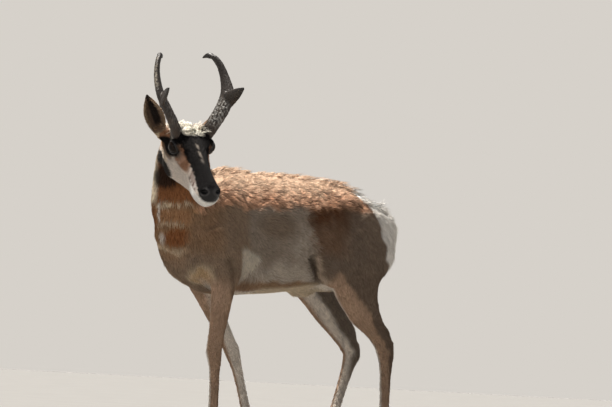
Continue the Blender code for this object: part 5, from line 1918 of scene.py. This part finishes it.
# %% [markdown]
# A pronghorn's ear is a leaf rolled into a cup. It is tan outside with a dark edge at the tip,
# and nearly black inside. Where a point lies is told by its share of the ear's height and width,
# and by whether it faces into the opening.

# %% Colours of the ears
EAR_ROOT = (0.018, 0.0655, 0.0255)
EAR_LENGTH = 0.145
EAR_VOXEL = 0.0013
# Towards the tip and towards the opening, in head coordinates
EAR_POSES = {
    "left": ((-0.60, 0.74, 0.12), (0.70, 0.58, -0.41)),
    "right": ((-0.22, -0.43, 0.84), (0.84, -0.46, 0.10)),
}
EAR_HALF_WIDTH = (
    (0.0, 0.022, 0.050, 0.080, 0.108, 0.128, 0.145),
    (0.0150, 0.0215, 0.0285, 0.0280, 0.0200, 0.0115, 0.0025),
)
EAR_SHRINK = np.array([1.0, 1.0, 0.91])
# Length, width, how far the tips stand off
EAR_HAIR = (0.0085, 0.0015, 0.0009)
RIM_HAIR = (0.0160, 0.0011, 0.0036)
EAR_COVER = 1.7


def ear_axes(name):
    axis, opening = (Vector(vector) for vector in EAR_POSES[name])
    axis.normalize()
    opening = (opening - axis * opening.dot(axis)).normalized()
    return np.array([opening, axis.cross(opening), axis])


def ear_parts(local, facing):
    """Where an ear's points lie: share of the height, share of the width, inside or not."""
    high = local[:, 2] / EAR_LENGTH
    wide = np.abs(local[:, 1]) / np.interp(local[:, 2], *EAR_HALF_WIDTH)
    return high, wide, rise(facing, 0.15, 0.45) * rise(high, 0.02, 0.10)


def ear_tone(local, high, wide, inner):
    grain = ripple(local, 0.012, 91)
    tone = np.tile(paint(158, 126, 98), (len(local), 1))
    tone = layer(tone, paint(128, 104, 82), rise(grain, -0.4, 0.8))
    tone = layer(tone, paint(206, 188, 160), rise(high, 0.16, 0.02) * 0.8)
    tone = layer(tone, paint(122, 100, 84), inner)
    dark = 0.95 * inner * rise(wide, 0.62, 0.30) * rise(high, 0.10, 0.25)
    tone = layer(tone, paint(26, 22, 21), dark)
    pale = 0.7 * rise(wide, 0.72, 0.90) * rise(high, 0.98, 0.80) * inner
    tone = layer(tone, paint(178, 156, 130), pale)
    return layer(tone, paint(38, 32, 29), 0.85 * rise(high, 0.86, 0.96))


print("left ear points along", np.round(ear_axes("left")[2], 2), "of the head")

# %% [markdown]
# The solid has the right roll and wall, so a copy of it is melted into fine faces and smoothed,
# and is made a little shorter. Long pale hairs grow from the rims across the opening. The hairs
# are tufts like those of the coat, on the ear's own lie, from root to tip.

# %% Ears

def ear(name, side):
    made = melted_copy("ear_skin_" + name, "ear_" + name, EAR_VOXEL)
    edges = edges_of(made)
    points = smooth(points_of(made), edges, 14)
    axes = ear_axes(name)
    foot = np.array(EAR_ROOT) * (1, side, 1)
    local = (to_head(points) - foot) @ axes.T
    points = from_head(foot + (local * EAR_SHRINK) @ axes)
    set_points(made, points)
    facing = (normals_of(made) @ HEAD_AXES) @ axes[0]
    high, wide, inner = ear_parts(local, facing)
    # The ear's skin is painted a little darker than its hair, as shade under the hair
    set_tone(made, ear_tone(local, high, wide, inner) * 0.85)
    set_number(made, "bare", 0.15 * inner)
    made.data.materials.append(skin)
    shade_soft(made)
    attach(made, "root")
    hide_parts("ear_" + name)

    normals = normals_of(made)
    rim = rise(wide, 0.45, 0.75) * inner * rise(high, 0.95, 0.75)
    hair = layer(np.tile(EAR_HAIR, (len(points), 1)), np.array(RIM_HAIR), rim)
    per_area = EAR_COVER / (hair[:, 0] * hair[:, 1] / 2) * (1 - 0.75 * inner * (1 - rim))
    per_area[local[:, 2] < 0.0] = 0
    corners, shares = spread_roots(made, per_area, 93)
    ear_root = blend_at(points, corners, shares)
    ear_out = unit(blend_at(normals, corners, shares))
    sizes = blend_at(hair, corners, shares)
    place = blend_at(local, corners, shares)
    high, wide, inner = ear_parts(place, (ear_out @ HEAD_AXES) @ axes[0])
    draw = np.random.default_rng(94)
    inward = -np.sign(place[:, 1]) * 0.55 * inner
    along = np.stack([0.25 * inner, inward, np.ones(len(place))], 1)
    along = along + draw.normal(0, 0.14, (len(place), 3))
    lie = along_surface(along @ axes @ HEAD_AXES.T, ear_out)
    length = sizes[:, 0] * draw.uniform(0.7, 1.25, len(place))
    length = np.minimum(length, (EAR_LENGTH + 0.004 - place[:, 2]).clip(0.003, 1))
    shade = 1 + 0.10 * draw.normal(size=len(place))
    tone = ear_tone(place, high, wide, inner) * np.clip(shade, 0.5, 1.5)[:, None]
    angle = np.arctan2(place[:, 1], place[:, 0]) + 4.0 * inner
    spots = np.stack([angle / 6, place[:, 2] / EAR_LENGTH], 1)
    sizes = (length, sizes[:, 1], sizes[:, 2], sizes[:, 2] * 0.3)
    tufts = make_tufts("ear_hair_" + name, ear_root, ear_out, lie, sizes, tone, spots, coat)
    print("ear", name, triangles_of(made), "triangles")


for name, side in SIDES.items():
    ear(name, side)
